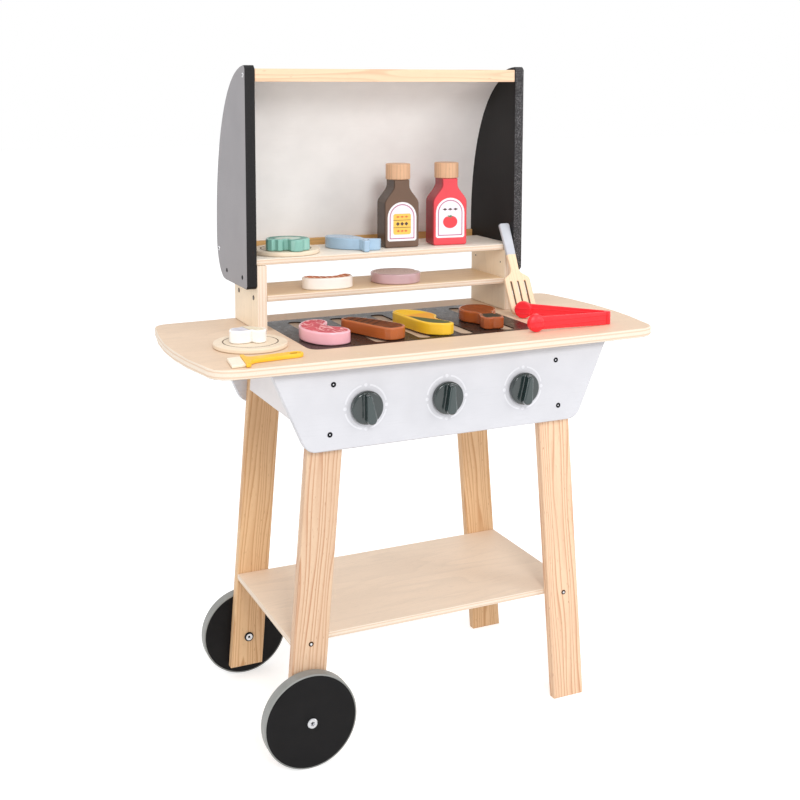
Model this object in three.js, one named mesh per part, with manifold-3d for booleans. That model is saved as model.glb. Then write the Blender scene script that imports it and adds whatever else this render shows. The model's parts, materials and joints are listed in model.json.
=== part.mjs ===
// Toy barbecue grill on two wheels, with its pretend food and tools.
// Millimetres. +X is to the right of someone standing at the knobs, +Y is away
// from them, +Z is up. The origin is on the floor, under the middle of the toy.
import * as THREE from 'three';
import { mergeVertices } from 'three/addons/utils/BufferGeometryUtils.js';
import Module from 'manifold-3d';

const wasm = await Module();
wasm.setup();

// Sizes
// clearances and edges
const fit_gap = 0.3;             // between pieces that touch
const turn_gap = 0.8;            // behind a knob
const overrun = 4;               // how far a cutter passes a face
const board_edge = 1.2;          // eased arris of a board
const small_edge = 0.8;          // eased arris of a small piece

// tabletop and the grill plate let into it
const table_end_length = 161.5;   // beyond each end of the grill plate
const table_depth = 305;
const table_thickness = 12;
const table_top = 513;
const table_end_bow = 14;
const table_side_bow = 6;
const table_front_corner = 36;
const table_back_corner = 24;
const plate_length = 327;
const plate_depth = 192;
const plate_thickness = 1.5;
const plate_corner = 18;
const plate_shift_x = -5;
const plate_front_margin = 65.5;
const plate_slots = 5;
const slot_width = 14;
const slot_pitch = 62;
const slot_front_margin = 9.5;   // plate front to slot ends
const slot_back_margin = 16;

// box under the table
const panel_setback = 21.5;      // table front to panel face
const panel_thickness = 12;
const panel_top_width = 473;
const panel_bottom_width = 382;
const panel_height = 104;
const panel_corner = 13;
const side_board_height = 82.5;
const side_board_thickness = 10;

// legs and lower shelf
const leg_thickness = 13;
const leg_width = 46;
const leg_foot_reach = 218.3;    // outer edge of a leg at the floor
const leg_top_reach = 178.3;     // outer edge of a leg under the table
const wheel_leg_end = 18;        // the left legs stop short of the floor
const frame_span = 218;          // front legs to rear legs
const lower_shelf_top = 155.5;
const shelf_thickness = 8.2;

// posts and upper shelves
const post_setback = 196.5;      // table front to posts and hood front
const post_thickness = 13.5;
const post_depth = 101;
const hood_inner_width = 388;
const upper_shelf_top = 609.3;
const upper_shelf_depth = 105.5;
const upper_shelf_inset = 3;
const mid_shelf_top = 560.4;

// hood
const hood_depth = 136.5;
const hood_height = 253.7;       // above the upper shelf
const hood_bottom = 570;
const hood_side_thickness = 14;
const hood_curve_start = 628;
const hood_curve_power = 2.15;
const hood_tail_depth = 38.5;
const hood_tail_height = 58;
const hood_front_corner = 4;
const sheet_inset = 4;
const sheet_thickness = 3.5;
const groove_depth = 4.5;
const bar_height = 16.8;
const bar_depth = 14;
const bar_drop = 4.3;            // hood top to bar top
const bar_inset = 1;
const rail_height = 14;
const rail_depth = 6;
const rail_bottom = 603;

// wheels and axles
const wheel_radius = 60.5;
const wheel_thickness = 17;
const tyre_depth = 2.3;
const tyre_edge = 1;
const washer_thickness = 1.2;
const washer_radius = 8;
const axle_radius = 3;
const axle_head_radius = 6.5;
const axle_head_height = 3.6;
const axle_socket_radius = 2.9;
const axle_socket_depth = 2.2;
const nut_sleeve_radius = 4.4;
const nut_sleeve_length = 8;

// knobs
const knob_radius = 21;
const knob_base_thickness = 7;
const knob_rim = 1.6;
const knob_leg_margin = 25.6;    // knob's middle to a leg's inner edge, row unshifted
const knob_row_shift = -3.7;
const knob_drop = 54;            // table underside to knob centre
const grip_height = 11;
const grip_top_radius = 3.6;
const grip_bottom_radius = 6.6;
const grip_top_reach = 15;
const grip_bottom_reach = 12.3;
const left_knob_turn = 7;        // degrees from upright
const middle_knob_turn = -2;
const right_knob_turn = -7;
const knob_bore_depth = 10;

// Wood screws
const screw_head_radius = 3.4;
const screw_head_height = 2.2;
const screw_shank_radius = 1.7;
const panel_screw_length = 23;
const screw_sink = 0.2;          // heads lie this far below the panel's face
const knob_screw_radius = 2;
const knob_screw_head_radius = 5;
const knob_screw_head_height = 2.2;
const panel_screw_top_drop = 22;
const panel_screw_low_drop = 83.5;

// round dishes
const dish_radius = 46.8;
const dish_thickness = 6;
const dish_edge = 1.6;
const dish_groove_radius = 34.5;
const dish_groove_width = 1.8;
const dish_groove_depth = 1.2;
const table_dish_gap = 14.2;      // grill plate's left end to the dish's edge
const table_dish_setback = 119;   // table's front to the dish's middle
const shelf_dish_margin = 58;     // upper shelf's left end to the dish's middle
const shelf_dish_setback = 48;    // upper shelf's front edge to the dish's middle

// bottles
const bottle_width = 51;
const bottle_depth = 35;
const bottle_height = 95.3;
const bottle_shoulder = 64;
const bottle_neck_width = 23;
const bottle_neck_height = 16;
const bottle_corner = 4;
const bottle_edge = 1.6;
const cap_radius = 17.5;
const cap_height = 22;
const cap_edge = 1.2;
const sauce_bottle_x = 30.8;
const sauce_bottle_setback = 42;  // upper shelf's front edge to the bottle's middle
const sauce_bottle_turn = -5;
const ketchup_bottle_x = 106;
const ketchup_bottle_setback = 38.3;
const ketchup_bottle_turn = -8;

// wooden food: thickness, then length, width, place and turn of each piece;
// a shift is from the middle of what carries the piece, a setback from its front edge
const food_thickness = 16;
const onion_thickness = 14;
const food_edge = 1.4;
const steak_length = 94;
const steak_width = 55;
const steak_shift = -129;
const steak_setback = 58;
const steak_turn = -86;
const slab_length = 98;
const slab_width = 36;
const slab_shift = -55;
const slab_setback = 57;
const slab_turn = -67;
const banana_length = 117;
const banana_width = 47;
const banana_shift = 22;
const banana_setback = 65;
const banana_turn = -80;
const drumstick_length = 103;
const drumstick_width = 54;
const drumstick_shift = 111.5;
const drumstick_setback = 66;
const drumstick_turn = -99;
const mushroom_length = 46;
const mushroom_width = 33;
const mushroom_shift = -3;
const mushroom_turn = -22;
const pepper_length = 59;
const pepper_width = 50;
const pepper_shift_x = -4;
const pepper_shift_y = -19;
const pepper_turn = -22;
const fish_length = 86;
const fish_width = 40;
const fish_shift = -40.5;
const fish_setback = 46;
const fish_turn = -62;
const prawn_length = 72;
const prawn_width = 36;
const prawn_shift = -84.5;
const prawn_setback = 25;
const prawn_turn = -6;
const onion_length = 70;
const onion_width = 65;
const onion_shift = 24;
const onion_setback = 38;
const onion_turn = -20;

// tongs
const tongs_hinge_gap = 99;       // grill plate's right end to the bend
const tongs_hinge_setback = 51.5; // table's front to the bend
const tongs_front_angle = 182.4;  // where each arm points, degrees from +X
const tongs_back_angle = 136.2;
const tongs_reach = 116.5;
const tongs_arm_height = 17.5;
const tongs_arm_thickness = 3;
const tongs_bend_radius = 4.5;
const tongs_tip_radius = 12;
const tongs_tip_inner = 3.5;
const tongs_tip_dome = 5.5;

// spatula
const spatula_length = 138;
const spatula_thickness = 5;
const spatula_head_width = 41;
const spatula_head_length = 52;
const spatula_neck_width = 12.6;
const spatula_neck_start = 68;
const spatula_handle_width = 16.2;
const spatula_corner = 11;
const spatula_slots = 3;
const spatula_slot_width = 2.6;
const spatula_slot_length = 36;
const spatula_slot_pitch = 11.2;
const spatula_slot_start = 14;
const spatula_margin = 8.4;      // upper shelf's right end to the spatula's middle
const spatula_foot_setback = 150; // table's front to the foot
const spatula_end_radius = 4;

// brush
const brush_joint_gap = 97.3;    // grill plate's left end to the joint of head and tip
const brush_joint_setback = 34.5; // table's front to that joint
const brush_turn = 6;
const brush_handle_length = 78;
const brush_handle_width = 16;
const brush_head_width = 47;
const brush_head_length = 5.5;
const brush_taper_length = 11;
const brush_slant_share = 0.25;  // the head is cut aslant
const brush_tip_width = 38;
const brush_tip_length = 17.5;
const brush_thickness = 5;
const brush_tip_thickness = 4;
const brush_hole_length = 15;
const brush_hole_width = 8.8;
const brush_hole_margin = 3.6;

// how finely curves are stepped
const corner_steps = 5;
const food_steps = 32;
const hood_steps = 22;
const wheel_steps = 40;
const round_steps = 24;
const screw_steps = 10;
const half_share = 0.5;

// Places
const overall_depth = post_setback + hood_depth;
const front_y = -overall_depth * half_share;
const table_back_y = front_y + table_depth;
const table_middle_y = front_y + table_depth * half_share;
const table_under = table_top - table_thickness;
const panel_front_y = front_y + panel_setback;
const panel_back_y = panel_front_y + panel_thickness;
const leg_front_y = panel_back_y + fit_gap;
const leg_inner_y = leg_front_y + leg_thickness;
const rear_leg_y = leg_inner_y + frame_span;
const rear_leg_back_y = rear_leg_y + leg_thickness;
const rear_panel_y = rear_leg_back_y + fit_gap;
const post_y = front_y + post_setback;
const hood_inner_x = hood_inner_width * half_share;
const hood_outer_x = hood_inner_x + fit_gap + hood_side_thickness;
const post_outer_x = hood_inner_x;
const post_inner_x = post_outer_x - post_thickness;
const upper_shelf_y = post_y + upper_shelf_inset;
const hood_top = upper_shelf_top + hood_height;
const board_top = table_under - fit_gap;
const wheel_offset = washer_thickness + fit_gap + fit_gap;
const legOuterX = (z) => leg_foot_reach + (leg_top_reach - leg_foot_reach) * z / table_under;
const legMiddleX = (z) => legOuterX(z) - leg_width * half_share;
const knob_z = table_under - knob_drop;
const knob_spacing = legOuterX(knob_z) - leg_width - knob_leg_margin;
const table_end_x = plate_length * half_share + table_end_length;
const plate_x0 = plate_shift_x - plate_length * half_share;
const plate_x1 = plate_shift_x + plate_length * half_share;
const plate_y0 = front_y + plate_front_margin;
const on_table = table_top + fit_gap;
const on_dish = dish_thickness + fit_gap;
const on_upper_shelf = upper_shelf_top + fit_gap;
const on_mid_shelf = mid_shelf_top + fit_gap;
const table_dish_x = plate_x0 - table_dish_gap - dish_radius;
const table_dish_y = front_y + table_dish_setback;
const shelf_dish_x = -hood_inner_x + shelf_dish_margin;
const shelf_dish_y = upper_shelf_y + shelf_dish_setback;
const tongs_hinge_x = plate_x1 + tongs_hinge_gap;
const tongs_hinge_y = front_y + tongs_hinge_setback;
const spatula_x = hood_inner_x - spatula_margin;
const spatula_foot_y = front_y + spatula_foot_setback;
const brush_joint_x = plate_x0 - brush_joint_gap;
const brush_joint_y = front_y + brush_joint_setback;

// Looks
const look = (color, roughness, metalness = 0) =>
  new THREE.MeshStandardMaterial({ color, roughness, metalness });
const ply = look(0xe5cbb2, 0.6);
const pine = look(0xe1b98c, 0.6);
const white_paint = look(0xdcdbdf, 0.55);
const side_paint = look(0xe8e4e6, 0.55);
const black_paint = look(0x262527, 0.5);
const sheet_paint = look(0xebe8e6, 0.6);
const tan_wood = look(0xd2a36c, 0.6);
const knob_green = look(0x3c4b4b, 0.3);
const wheel_black = look(0x262526, 0.6);
const tyre_grey = look(0x82847f, 0.8);
const zinc = look(0xc9cacc, 0.3, 1);
const black_steel = look(0x1c1c1e, 0.4, 0.6);
const beech = look(0xe4bc94, 0.55);
const dish_wood = look(0xebd7b9, 0.6);
const red_paint = look(0xf05a62, 0.45);
const brown_paint = look(0x735f55, 0.5);
const green_paint = look(0x73b4a0, 0.5);
const blue_paint = look(0xa5bedc, 0.5);
const cream_paint = look(0xf5ece4, 0.55);
const mauve_paint = look(0xb99ba5, 0.55);
const pink_paint = look(0xf0b4b9, 0.55);
const roast_paint = look(0xb96437, 0.5);
const yellow_paint = look(0xebbe3c, 0.5);
const chicken_paint = look(0xaf6937, 0.5);
const red_plastic = look(0xfa2d34, 0.35);
const pale_wood = look(0xfadebe, 0.6);
const brush_yellow = look(0xfcbe30, 0.4);
const brush_cream = look(0xfdf0de, 0.7);

// Solids
const toRadians = (degrees) => THREE.MathUtils.degToRad(degrees);

// Positions only, shared corners merged, thin triangles dropped, faces outwards.
function closed(source) {
  const loose = source.index ? source.toNonIndexed() : source.clone();
  for (const name of Object.keys(loose.attributes)) {
    if (name !== 'position') loose.deleteAttribute(name);
  }
  const merged = mergeVertices(loose);
  const corners = merged.index.array;
  const kept = [];
  for (let i = 0; i < corners.length; i += 3) {
    const [a, b, c] = [corners[i], corners[i + 1], corners[i + 2]];
    if (a !== b && b !== c && a !== c) kept.push(a, b, c);
  }
  const place = merged.attributes.position;
  const [p, q, r] = [new THREE.Vector3(), new THREE.Vector3(), new THREE.Vector3()];
  let volume = 0;
  for (let i = 0; i < kept.length; i += 3) {
    p.fromBufferAttribute(place, kept[i]);
    q.fromBufferAttribute(place, kept[i + 1]);
    r.fromBufferAttribute(place, kept[i + 2]);
    volume += p.dot(q.cross(r));
  }
  if (volume < 0) {
    for (let i = 0; i < kept.length; i += 3) [kept[i + 1], kept[i + 2]] = [kept[i + 2], kept[i + 1]];
  }
  merged.setIndex(kept);
  return merged;
}

function toManifold(geometry) {
  const ready = closed(geometry);
  return new wasm.Manifold(new wasm.Mesh({
    numProp: 3,
    vertProperties: new Float32Array(ready.attributes.position.array),
    triVerts: new Uint32Array(ready.index.array),
  }));
}

function fromManifold(body) {
  const mesh = body.getMesh();
  const geometry = new THREE.BufferGeometry();
  const corners = new Float32Array(mesh.vertProperties);
  geometry.setAttribute('position', new THREE.BufferAttribute(corners, 3));
  geometry.setIndex(Array.from(mesh.triVerts));
  return geometry;
}

function cut(geometry, tools) {
  let body = toManifold(geometry);
  for (const tool of tools) body = body.subtract(toManifold(tool));
  return fromManifold(body);
}

function join(...geometries) {
  let body = toManifold(geometries[0]);
  for (const other of geometries.slice(1)) body = body.add(toManifold(other));
  return fromManifold(body);
}

// A slab of the outline, from 0 to depth along +Z, with eased arrises.
function slab(shape, depth, edge = 0) {
  const geometry = new THREE.ExtrudeGeometry(shape, {
    depth: depth - edge - edge,
    bevelEnabled: edge > 0,
    bevelThickness: edge,
    bevelSize: edge,
    bevelOffset: -edge,
    bevelSegments: 1,
    curveSegments: corner_steps,
    steps: 1,
  });
  geometry.translate(0, 0, edge);
  return closed(geometry);
}

// Boards that lie flat, face the front, or face the side.
const flatBoard = (shape, z, depth, edge) => slab(shape, depth, edge).translate(0, 0, z);
const frontBoard = (shape, y, depth, edge) => slab(shape, depth, edge)
  .rotateX(Math.PI / 2).translate(0, y + depth, 0);
const sideways = new THREE.Matrix4().makeBasis(
  new THREE.Vector3(0, 1, 0), new THREE.Vector3(0, 0, 1), new THREE.Vector3(1, 0, 0));
const sideBoard = (shape, x, depth, edge) => slab(shape, depth, edge)
  .applyMatrix4(sideways).translate(x, 0, 0);

function rectangle(x0, x1, y0, y1) {
  return new THREE.Shape([
    new THREE.Vector2(x0, y0), new THREE.Vector2(x1, y0),
    new THREE.Vector2(x1, y1), new THREE.Vector2(x0, y1),
  ]);
}

// A polygon whose corners are rounded by the given radii.
function rounded(points, radii) {
  const shape = new THREE.Shape();
  points.forEach(([x, y], i) => {
    const [px, py] = points[(i + points.length - 1) % points.length];
    const [nx, ny] = points[(i + 1) % points.length];
    const radius = Array.isArray(radii) ? radii[i] : radii;
    const back = Math.hypot(px - x, py - y);
    const ahead = Math.hypot(nx - x, ny - y);
    const reach = Math.min(radius, back * half_share, ahead * half_share);
    const start = [x + (px - x) * reach / back, y + (py - y) * reach / back];
    const end = [x + (nx - x) * reach / ahead, y + (ny - y) * reach / ahead];
    if (i === 0) shape.moveTo(...start); else shape.lineTo(...start);
    if (reach > 0) shape.quadraticCurveTo(x, y, ...end);
  });
  shape.closePath();
  return shape;
}

const roundedRectangle = (x0, x1, y0, y1, radius) =>
  rounded([[x0, y0], [x1, y0], [x1, y1], [x0, y1]], radius);

// A slot with round ends, along Y.
function slotShape(x, y, width, length) {
  const radius = width * half_share;
  const straight = length * half_share - radius;
  const shape = new THREE.Shape();
  shape.absarc(x, y + straight, radius, 0, Math.PI, false);
  shape.absarc(x, y - straight, radius, Math.PI, Math.PI * 2, false);
  shape.closePath();
  return shape;
}

// A smooth closed outline through points given as shares of half the length and width.
function softShape(shares, length, width) {
  const points = shares.map(([u, v]) =>
    new THREE.Vector3(u * length * half_share, v * width * half_share, 0));
  const curve = new THREE.CatmullRomCurve3(points, true, 'centripetal');
  const around = curve.getSpacedPoints(food_steps).slice(0, -1);
  return new THREE.Shape(around.map((point) => new THREE.Vector2(point.x, point.y)));
}

// A turned piece: pairs of radius and height, about the Z axis.
const turned = (profile, steps = round_steps) => closed(new THREE.LatheGeometry(
  profile.map(([radius, height]) => new THREE.Vector2(radius, height)), steps).rotateX(Math.PI / 2));

const rod = (radius, z0, z1, steps = round_steps) =>
  turned([[0, z0], [radius, z0], [radius, z1], [0, z1]], steps);

// A countersunk wood screw: its head's face at 0 and its point along -Z.
function screwBody(length, grow = 0) {
  const top = grow > 0 ? overrun : 0;
  const head = screw_head_radius + grow;
  const shank = screw_shank_radius + grow;
  const profile = [[0, top]];
  if (top > 0) profile.push([head, top]);
  profile.push([head, 0], [shank, -screw_head_height - grow]);
  profile.push([shank, -length + screw_head_height - grow], [0, -length - grow]);
  return turned(profile, screw_steps);
}

// Places something that points along -Z so that it points along the direction.
const down = new THREE.Vector3(0, 0, -1);
function aimed(geometry, place, direction) {
  const turn = new THREE.Quaternion().setFromUnitVectors(down, new THREE.Vector3(...direction));
  return geometry.applyQuaternion(turn).translate(...place);
}
const screwHoles = (list, length) => list.map(([place, direction]) =>
  aimed(screwBody(length, fit_gap).translate(0, 0, -screw_sink), place, direction));

const both = [-1, 1];
const root = new THREE.Group();
function add(name, geometry, material) {
  const mesh = new THREE.Mesh(closed(geometry), material);
  mesh.name = name;
  root.add(mesh);
  return mesh;
}

// Screw places
const into_back = [0, 1, 0];
const into_front = [0, -1, 0];
const panel_screw_rows = [table_under - panel_screw_top_drop, table_under - panel_screw_low_drop];
const panel_screw_places = panel_screw_rows.flatMap((z) => both.map((side) =>
  [[side * legMiddleX(z), panel_front_y, z], into_back]));
const bar_y = post_y + bar_inset;
const bar_top = hood_top - bar_drop;
const rail_back_y = post_y + hood_depth - sheet_inset - sheet_thickness - fit_gap;

// Tabletop and grill plate
function tableShape() {
  const half = table_end_x;
  const end = half - table_end_bow;
  const front = front_y + table_side_bow;
  const back = table_back_y - table_side_bow;
  const slope = table_side_bow / half;
  const lean = table_end_bow / table_depth;
  const corner = (x, y, sx, sy, radius) => ({
    side: [x - sx * radius, y + sy * slope * radius],
    tip: [x + sx * lean * radius * half_share, y],
    end: [x + sx * lean * radius, y - sy * radius],
  });
  const front_right = corner(end, front, 1, -1, table_front_corner);
  const back_right = corner(end, back, 1, 1, table_back_corner);
  const back_left = corner(-end, back, -1, 1, table_back_corner);
  const front_left = corner(-end, front, -1, -1, table_front_corner);
  const beyond = (edge, chord) => edge + (edge - chord);
  const end_chord = (front_right.end[0] + back_right.end[0]) * half_share;
  const shape = new THREE.Shape();
  shape.moveTo(...front_left.side);
  shape.quadraticCurveTo(0, beyond(front_y, front_right.side[1]), ...front_right.side);
  shape.quadraticCurveTo(...front_right.tip, ...front_right.end);
  shape.quadraticCurveTo(beyond(half, end_chord), table_middle_y, ...back_right.end);
  shape.quadraticCurveTo(...back_right.tip, ...back_right.side);
  shape.quadraticCurveTo(0, beyond(table_back_y, back_right.side[1]), ...back_left.side);
  shape.quadraticCurveTo(...back_left.tip, ...back_left.end);
  shape.quadraticCurveTo(-beyond(half, end_chord), table_middle_y, ...front_left.end);
  shape.quadraticCurveTo(...front_left.tip, ...front_left.side);
  return shape;
}
const plate_y1 = plate_y0 + plate_depth;
const plate_recess = plate_thickness + fit_gap;
add('tabletop', cut(flatBoard(tableShape(), table_under, table_thickness, board_edge), [
  flatBoard(roundedRectangle(plate_x0 - fit_gap, plate_x1 + fit_gap, plate_y0 - fit_gap, plate_y1 + fit_gap,
    plate_corner + fit_gap), table_top - plate_recess, plate_recess + overrun, 0),
]), ply);

const slot_length = plate_depth - slot_front_margin - slot_back_margin;
const slot_middle_y = plate_y0 + slot_front_margin + slot_length * half_share;
const slot_offsets = Array.from({ length: plate_slots },
  (_, i) => (i - (plate_slots - 1) * half_share) * slot_pitch);
const plateShape = roundedRectangle(plate_x0, plate_x1, plate_y0, plate_y1, plate_corner);
slot_offsets.forEach((offset) => plateShape.holes.push(
  slotShape(plate_shift_x + offset, slot_middle_y, slot_width, slot_length)));
add('grill_plate', flatBoard(plateShape, table_top - plate_thickness, plate_thickness, 0), black_paint);

// Box under the table
const panelShape = rounded([
  [-panel_bottom_width * half_share, table_under - panel_height],
  [panel_bottom_width * half_share, table_under - panel_height],
  [panel_top_width * half_share, board_top],
  [-panel_top_width * half_share, board_top],
], [panel_corner, panel_corner, 0, 0]);
const knob_xs = [-knob_spacing, 0, knob_spacing].map((x) => x + knob_row_shift);
const knobHoles = knob_xs.map((x) =>
  rod(knob_screw_radius + fit_gap, -overrun, panel_thickness + overrun, screw_steps)
    .rotateX(-Math.PI / 2).translate(x, panel_front_y, knob_z));
add('front_panel', cut(frontBoard(panelShape, panel_front_y, panel_thickness, board_edge),
  [...screwHoles(panel_screw_places, panel_screw_length), ...knobHoles]), white_paint);
add('rear_panel', frontBoard(panelShape, rear_panel_y, panel_thickness, board_edge), white_paint);
panel_screw_places.forEach(([place, direction], i) => {
  const row = place[2] > table_under - panel_height * half_share ? 'upper' : 'lower';
  add(`${row}_${place[0] < 0 ? 'left' : 'right'}_panel_screw`,
    aimed(screwBody(panel_screw_length).translate(0, 0, -screw_sink), place, direction), black_steel);
});

for (const [side, name] of [[-1, 'left_side_board'], [1, 'right_side_board']]) {
  const low = board_top - side_board_height;
  const outline = new THREE.Shape([
    [legOuterX(low) - side_board_thickness, low], [legOuterX(low), low],
    [legOuterX(board_top), board_top], [legOuterX(board_top) - side_board_thickness, board_top],
  ].map(([x, z]) => new THREE.Vector2(side * x, z)));
  const span = frame_span - fit_gap - fit_gap;
  add(name, frontBoard(outline, leg_inner_y + fit_gap, span, small_edge), side_paint);
}

// Legs, lower shelf and wheels
const wheel_x = -legMiddleX(wheel_radius);
const front_wheel_y = leg_front_y - wheel_offset - wheel_thickness;
const rear_wheel_y = rear_leg_back_y + wheel_offset;

// Axle pieces are drawn about Z, pointing from the outer wheel face towards the leg.
const axle_length = wheel_thickness + wheel_offset + leg_thickness - nut_sleeve_length * half_share;
const hexagon = (radius, z0, z1) => rod(radius, z0, z1, 6);
const boltBody = cut(turned([
  [0, axle_head_height + fit_gap], [axle_head_radius - small_edge, axle_head_height + fit_gap],
  [axle_head_radius, axle_head_height + fit_gap - small_edge], [axle_head_radius, fit_gap],
  [axle_radius, fit_gap], [axle_radius, -axle_length], [0, -axle_length],
]), [
  hexagon(axle_socket_radius, axle_head_height + fit_gap - axle_socket_depth, axle_head_height + overrun),
]);
const washerBody = turned([
  [axle_radius + fit_gap, -wheel_thickness - fit_gap], [washer_radius, -wheel_thickness - fit_gap],
  [washer_radius, -wheel_thickness - fit_gap - washer_thickness],
  [axle_radius + fit_gap, -wheel_thickness - fit_gap - washer_thickness],
  [axle_radius + fit_gap, -wheel_thickness - fit_gap],
]);
const nut_face = -wheel_thickness - wheel_offset - leg_thickness - fit_gap;
const nutBody = cut(turned([
  [axle_radius + fit_gap, nut_face + nut_sleeve_length], [nut_sleeve_radius, nut_face + nut_sleeve_length],
  [nut_sleeve_radius, nut_face], [axle_head_radius, nut_face],
  [axle_head_radius, nut_face - washer_thickness],
  [axle_head_radius - small_edge, nut_face - axle_socket_depth], [0, nut_face - axle_socket_depth],
  [0, nut_face + washer_thickness], [axle_radius + fit_gap, nut_face + washer_thickness],
  [axle_radius + fit_gap, nut_face + nut_sleeve_length],
]), [
  hexagon(axle_socket_radius, nut_face - axle_socket_depth - overrun, nut_face - washer_thickness),
]);
const axle_ends = [[front_wheel_y, into_back], [rear_wheel_y + wheel_thickness, into_front]];
const axle_names = ['front_wheel', 'rear_wheel'];
function addOnAxles(piece, geometry) {
  axle_ends.forEach(([y, direction], i) =>
    add(`${axle_names[i]}_${piece}`, aimed(geometry.clone(), [wheel_x, y, wheel_radius], direction), zinc));
}
const axleHoles = axle_ends.flatMap(([y, direction]) => [
  rod(axle_radius + fit_gap, -axle_length - overrun - overrun, overrun),
  rod(nut_sleeve_radius + fit_gap, nut_face - overrun, nut_face + nut_sleeve_length + fit_gap),
].map((hole) => aimed(hole, [wheel_x, y, wheel_radius], direction)));

for (const [side, left] of [[-1, true], [1, false]]) {
  const foot = left ? wheel_leg_end : 0;
  const outline = new THREE.Shape([
    [legOuterX(foot) - leg_width, foot], [legOuterX(foot), foot],
    [legOuterX(board_top), board_top], [legOuterX(board_top) - leg_width, board_top],
  ].map(([x, z]) => new THREE.Vector2(side * x, z)));
  for (const [row, y] of [['front', leg_front_y], ['rear', rear_leg_y]]) {
    const tools = [...screwHoles(panel_screw_places, panel_screw_length), ...(left ? axleHoles : [])];
    add(`${row}_${left ? 'left' : 'right'}_leg`,
      cut(frontBoard(outline, y, leg_thickness, board_edge), tools), pine);
  }
}
const shelf_end_x = legOuterX(lower_shelf_top);
const lowerShelfShape = rectangle(-shelf_end_x, shelf_end_x, leg_inner_y + fit_gap, rear_leg_y - fit_gap);
add('lower_shelf', flatBoard(lowerShelfShape,
  lower_shelf_top - shelf_thickness, shelf_thickness, small_edge), ply);

const disc_radius = wheel_radius - tyre_depth;
const disc = turned([
  [axle_radius + fit_gap, 0], [disc_radius - board_edge, 0], [disc_radius, board_edge],
  [disc_radius, wheel_thickness - board_edge], [disc_radius - board_edge, wheel_thickness],
  [axle_radius + fit_gap, wheel_thickness], [axle_radius + fit_gap, 0],
], wheel_steps).rotateX(-Math.PI / 2);
const tyre = turned([
  [disc_radius + fit_gap, tyre_edge], [wheel_radius - tyre_edge, tyre_edge],
  [wheel_radius, tyre_edge + tyre_edge], [wheel_radius, wheel_thickness - tyre_edge - tyre_edge],
  [wheel_radius - tyre_edge, wheel_thickness - tyre_edge],
  [disc_radius + fit_gap, wheel_thickness - tyre_edge], [disc_radius + fit_gap, tyre_edge],
], wheel_steps).rotateX(-Math.PI / 2);
for (const [name, y] of [['front_wheel', front_wheel_y], ['rear_wheel', rear_wheel_y]]) {
  add(`${name}_disc`, disc.clone().translate(wheel_x, y, wheel_radius), wheel_black);
  add(`${name}_tyre`, tyre.clone().translate(wheel_x, y, wheel_radius), tyre_grey);
}
addOnAxles('bolt', boltBody);
addOnAxles('washer', washerBody);
addOnAxles('nut', nutBody);

// Knobs
// Drawn about Z with the face up, then stood against the panel.
const knobBase = turned([
  [0, 0], [knob_radius - small_edge, 0], [knob_radius, small_edge],
  [knob_radius, knob_base_thickness - knob_rim],
  [knob_radius - knob_rim, knob_base_thickness], [0, knob_base_thickness + small_edge],
], wheel_steps);
function gripShape() {
  const shape = new THREE.Shape();
  shape.absarc(0, grip_top_reach, grip_top_radius, 0, Math.PI, false);
  shape.absarc(0, -grip_bottom_reach, grip_bottom_radius, Math.PI, Math.PI * 2, false);
  shape.closePath();
  return shape;
}
const knobGrip = slab(gripShape(), knob_base_thickness - knob_rim + grip_height, knob_rim)
  .translate(0, 0, knob_rim);
const knobBore = rod(knob_screw_radius + fit_gap, -overrun, knob_bore_depth, screw_steps);
const knobBody = cut(join(knobBase, knobGrip), [knobBore]);
const knob_face_y = panel_front_y - turn_gap;
const knob_screw_end = -panel_thickness - turn_gap - knob_bore_depth + fit_gap + fit_gap;
const knobScrew = turned([
  [0, knob_screw_head_height], [knob_screw_head_radius - small_edge, knob_screw_head_height],
  [knob_screw_head_radius, 0], [knob_screw_radius, 0],
  [knob_screw_radius, knob_screw_end], [0, knob_screw_end],
], screw_steps);
const knob_turns = [['left', left_knob_turn], ['middle', middle_knob_turn], ['right', right_knob_turn]];
knob_turns.forEach(([name, turn], i) => {
  add(`${name}_knob`, knobBody.clone().rotateZ(toRadians(turn)).rotateX(Math.PI / 2)
    .translate(knob_xs[i], knob_face_y, knob_z), knob_green);
  add(`${name}_knob_screw`,
    aimed(knobScrew.clone(), [knob_xs[i], panel_back_y + fit_gap, knob_z], into_front), zinc);
});

// Posts and shelves
const post_top = upper_shelf_top - shelf_thickness - fit_gap;
for (const [side, name] of [[-1, 'left_post'], [1, 'right_post']]) {
  const x = side < 0 ? -post_outer_x : post_inner_x;
  const face = rectangle(post_y, post_y + post_depth, table_top + fit_gap, post_top);
  add(name, sideBoard(face, x, post_thickness, small_edge), ply);
}
const mid_shelf_end_x = post_inner_x - fit_gap;
const midShelfShape = rectangle(-mid_shelf_end_x, mid_shelf_end_x, post_y, post_y + post_depth);
add('mid_shelf', flatBoard(midShelfShape,
  mid_shelf_top - shelf_thickness, shelf_thickness, small_edge), ply);
const upperShelfShape = rectangle(-hood_inner_x, hood_inner_x,
  upper_shelf_y, upper_shelf_y + upper_shelf_depth);
add('upper_shelf', flatBoard(upperShelfShape,
  upper_shelf_top - shelf_thickness, shelf_thickness, small_edge), ply);

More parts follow.
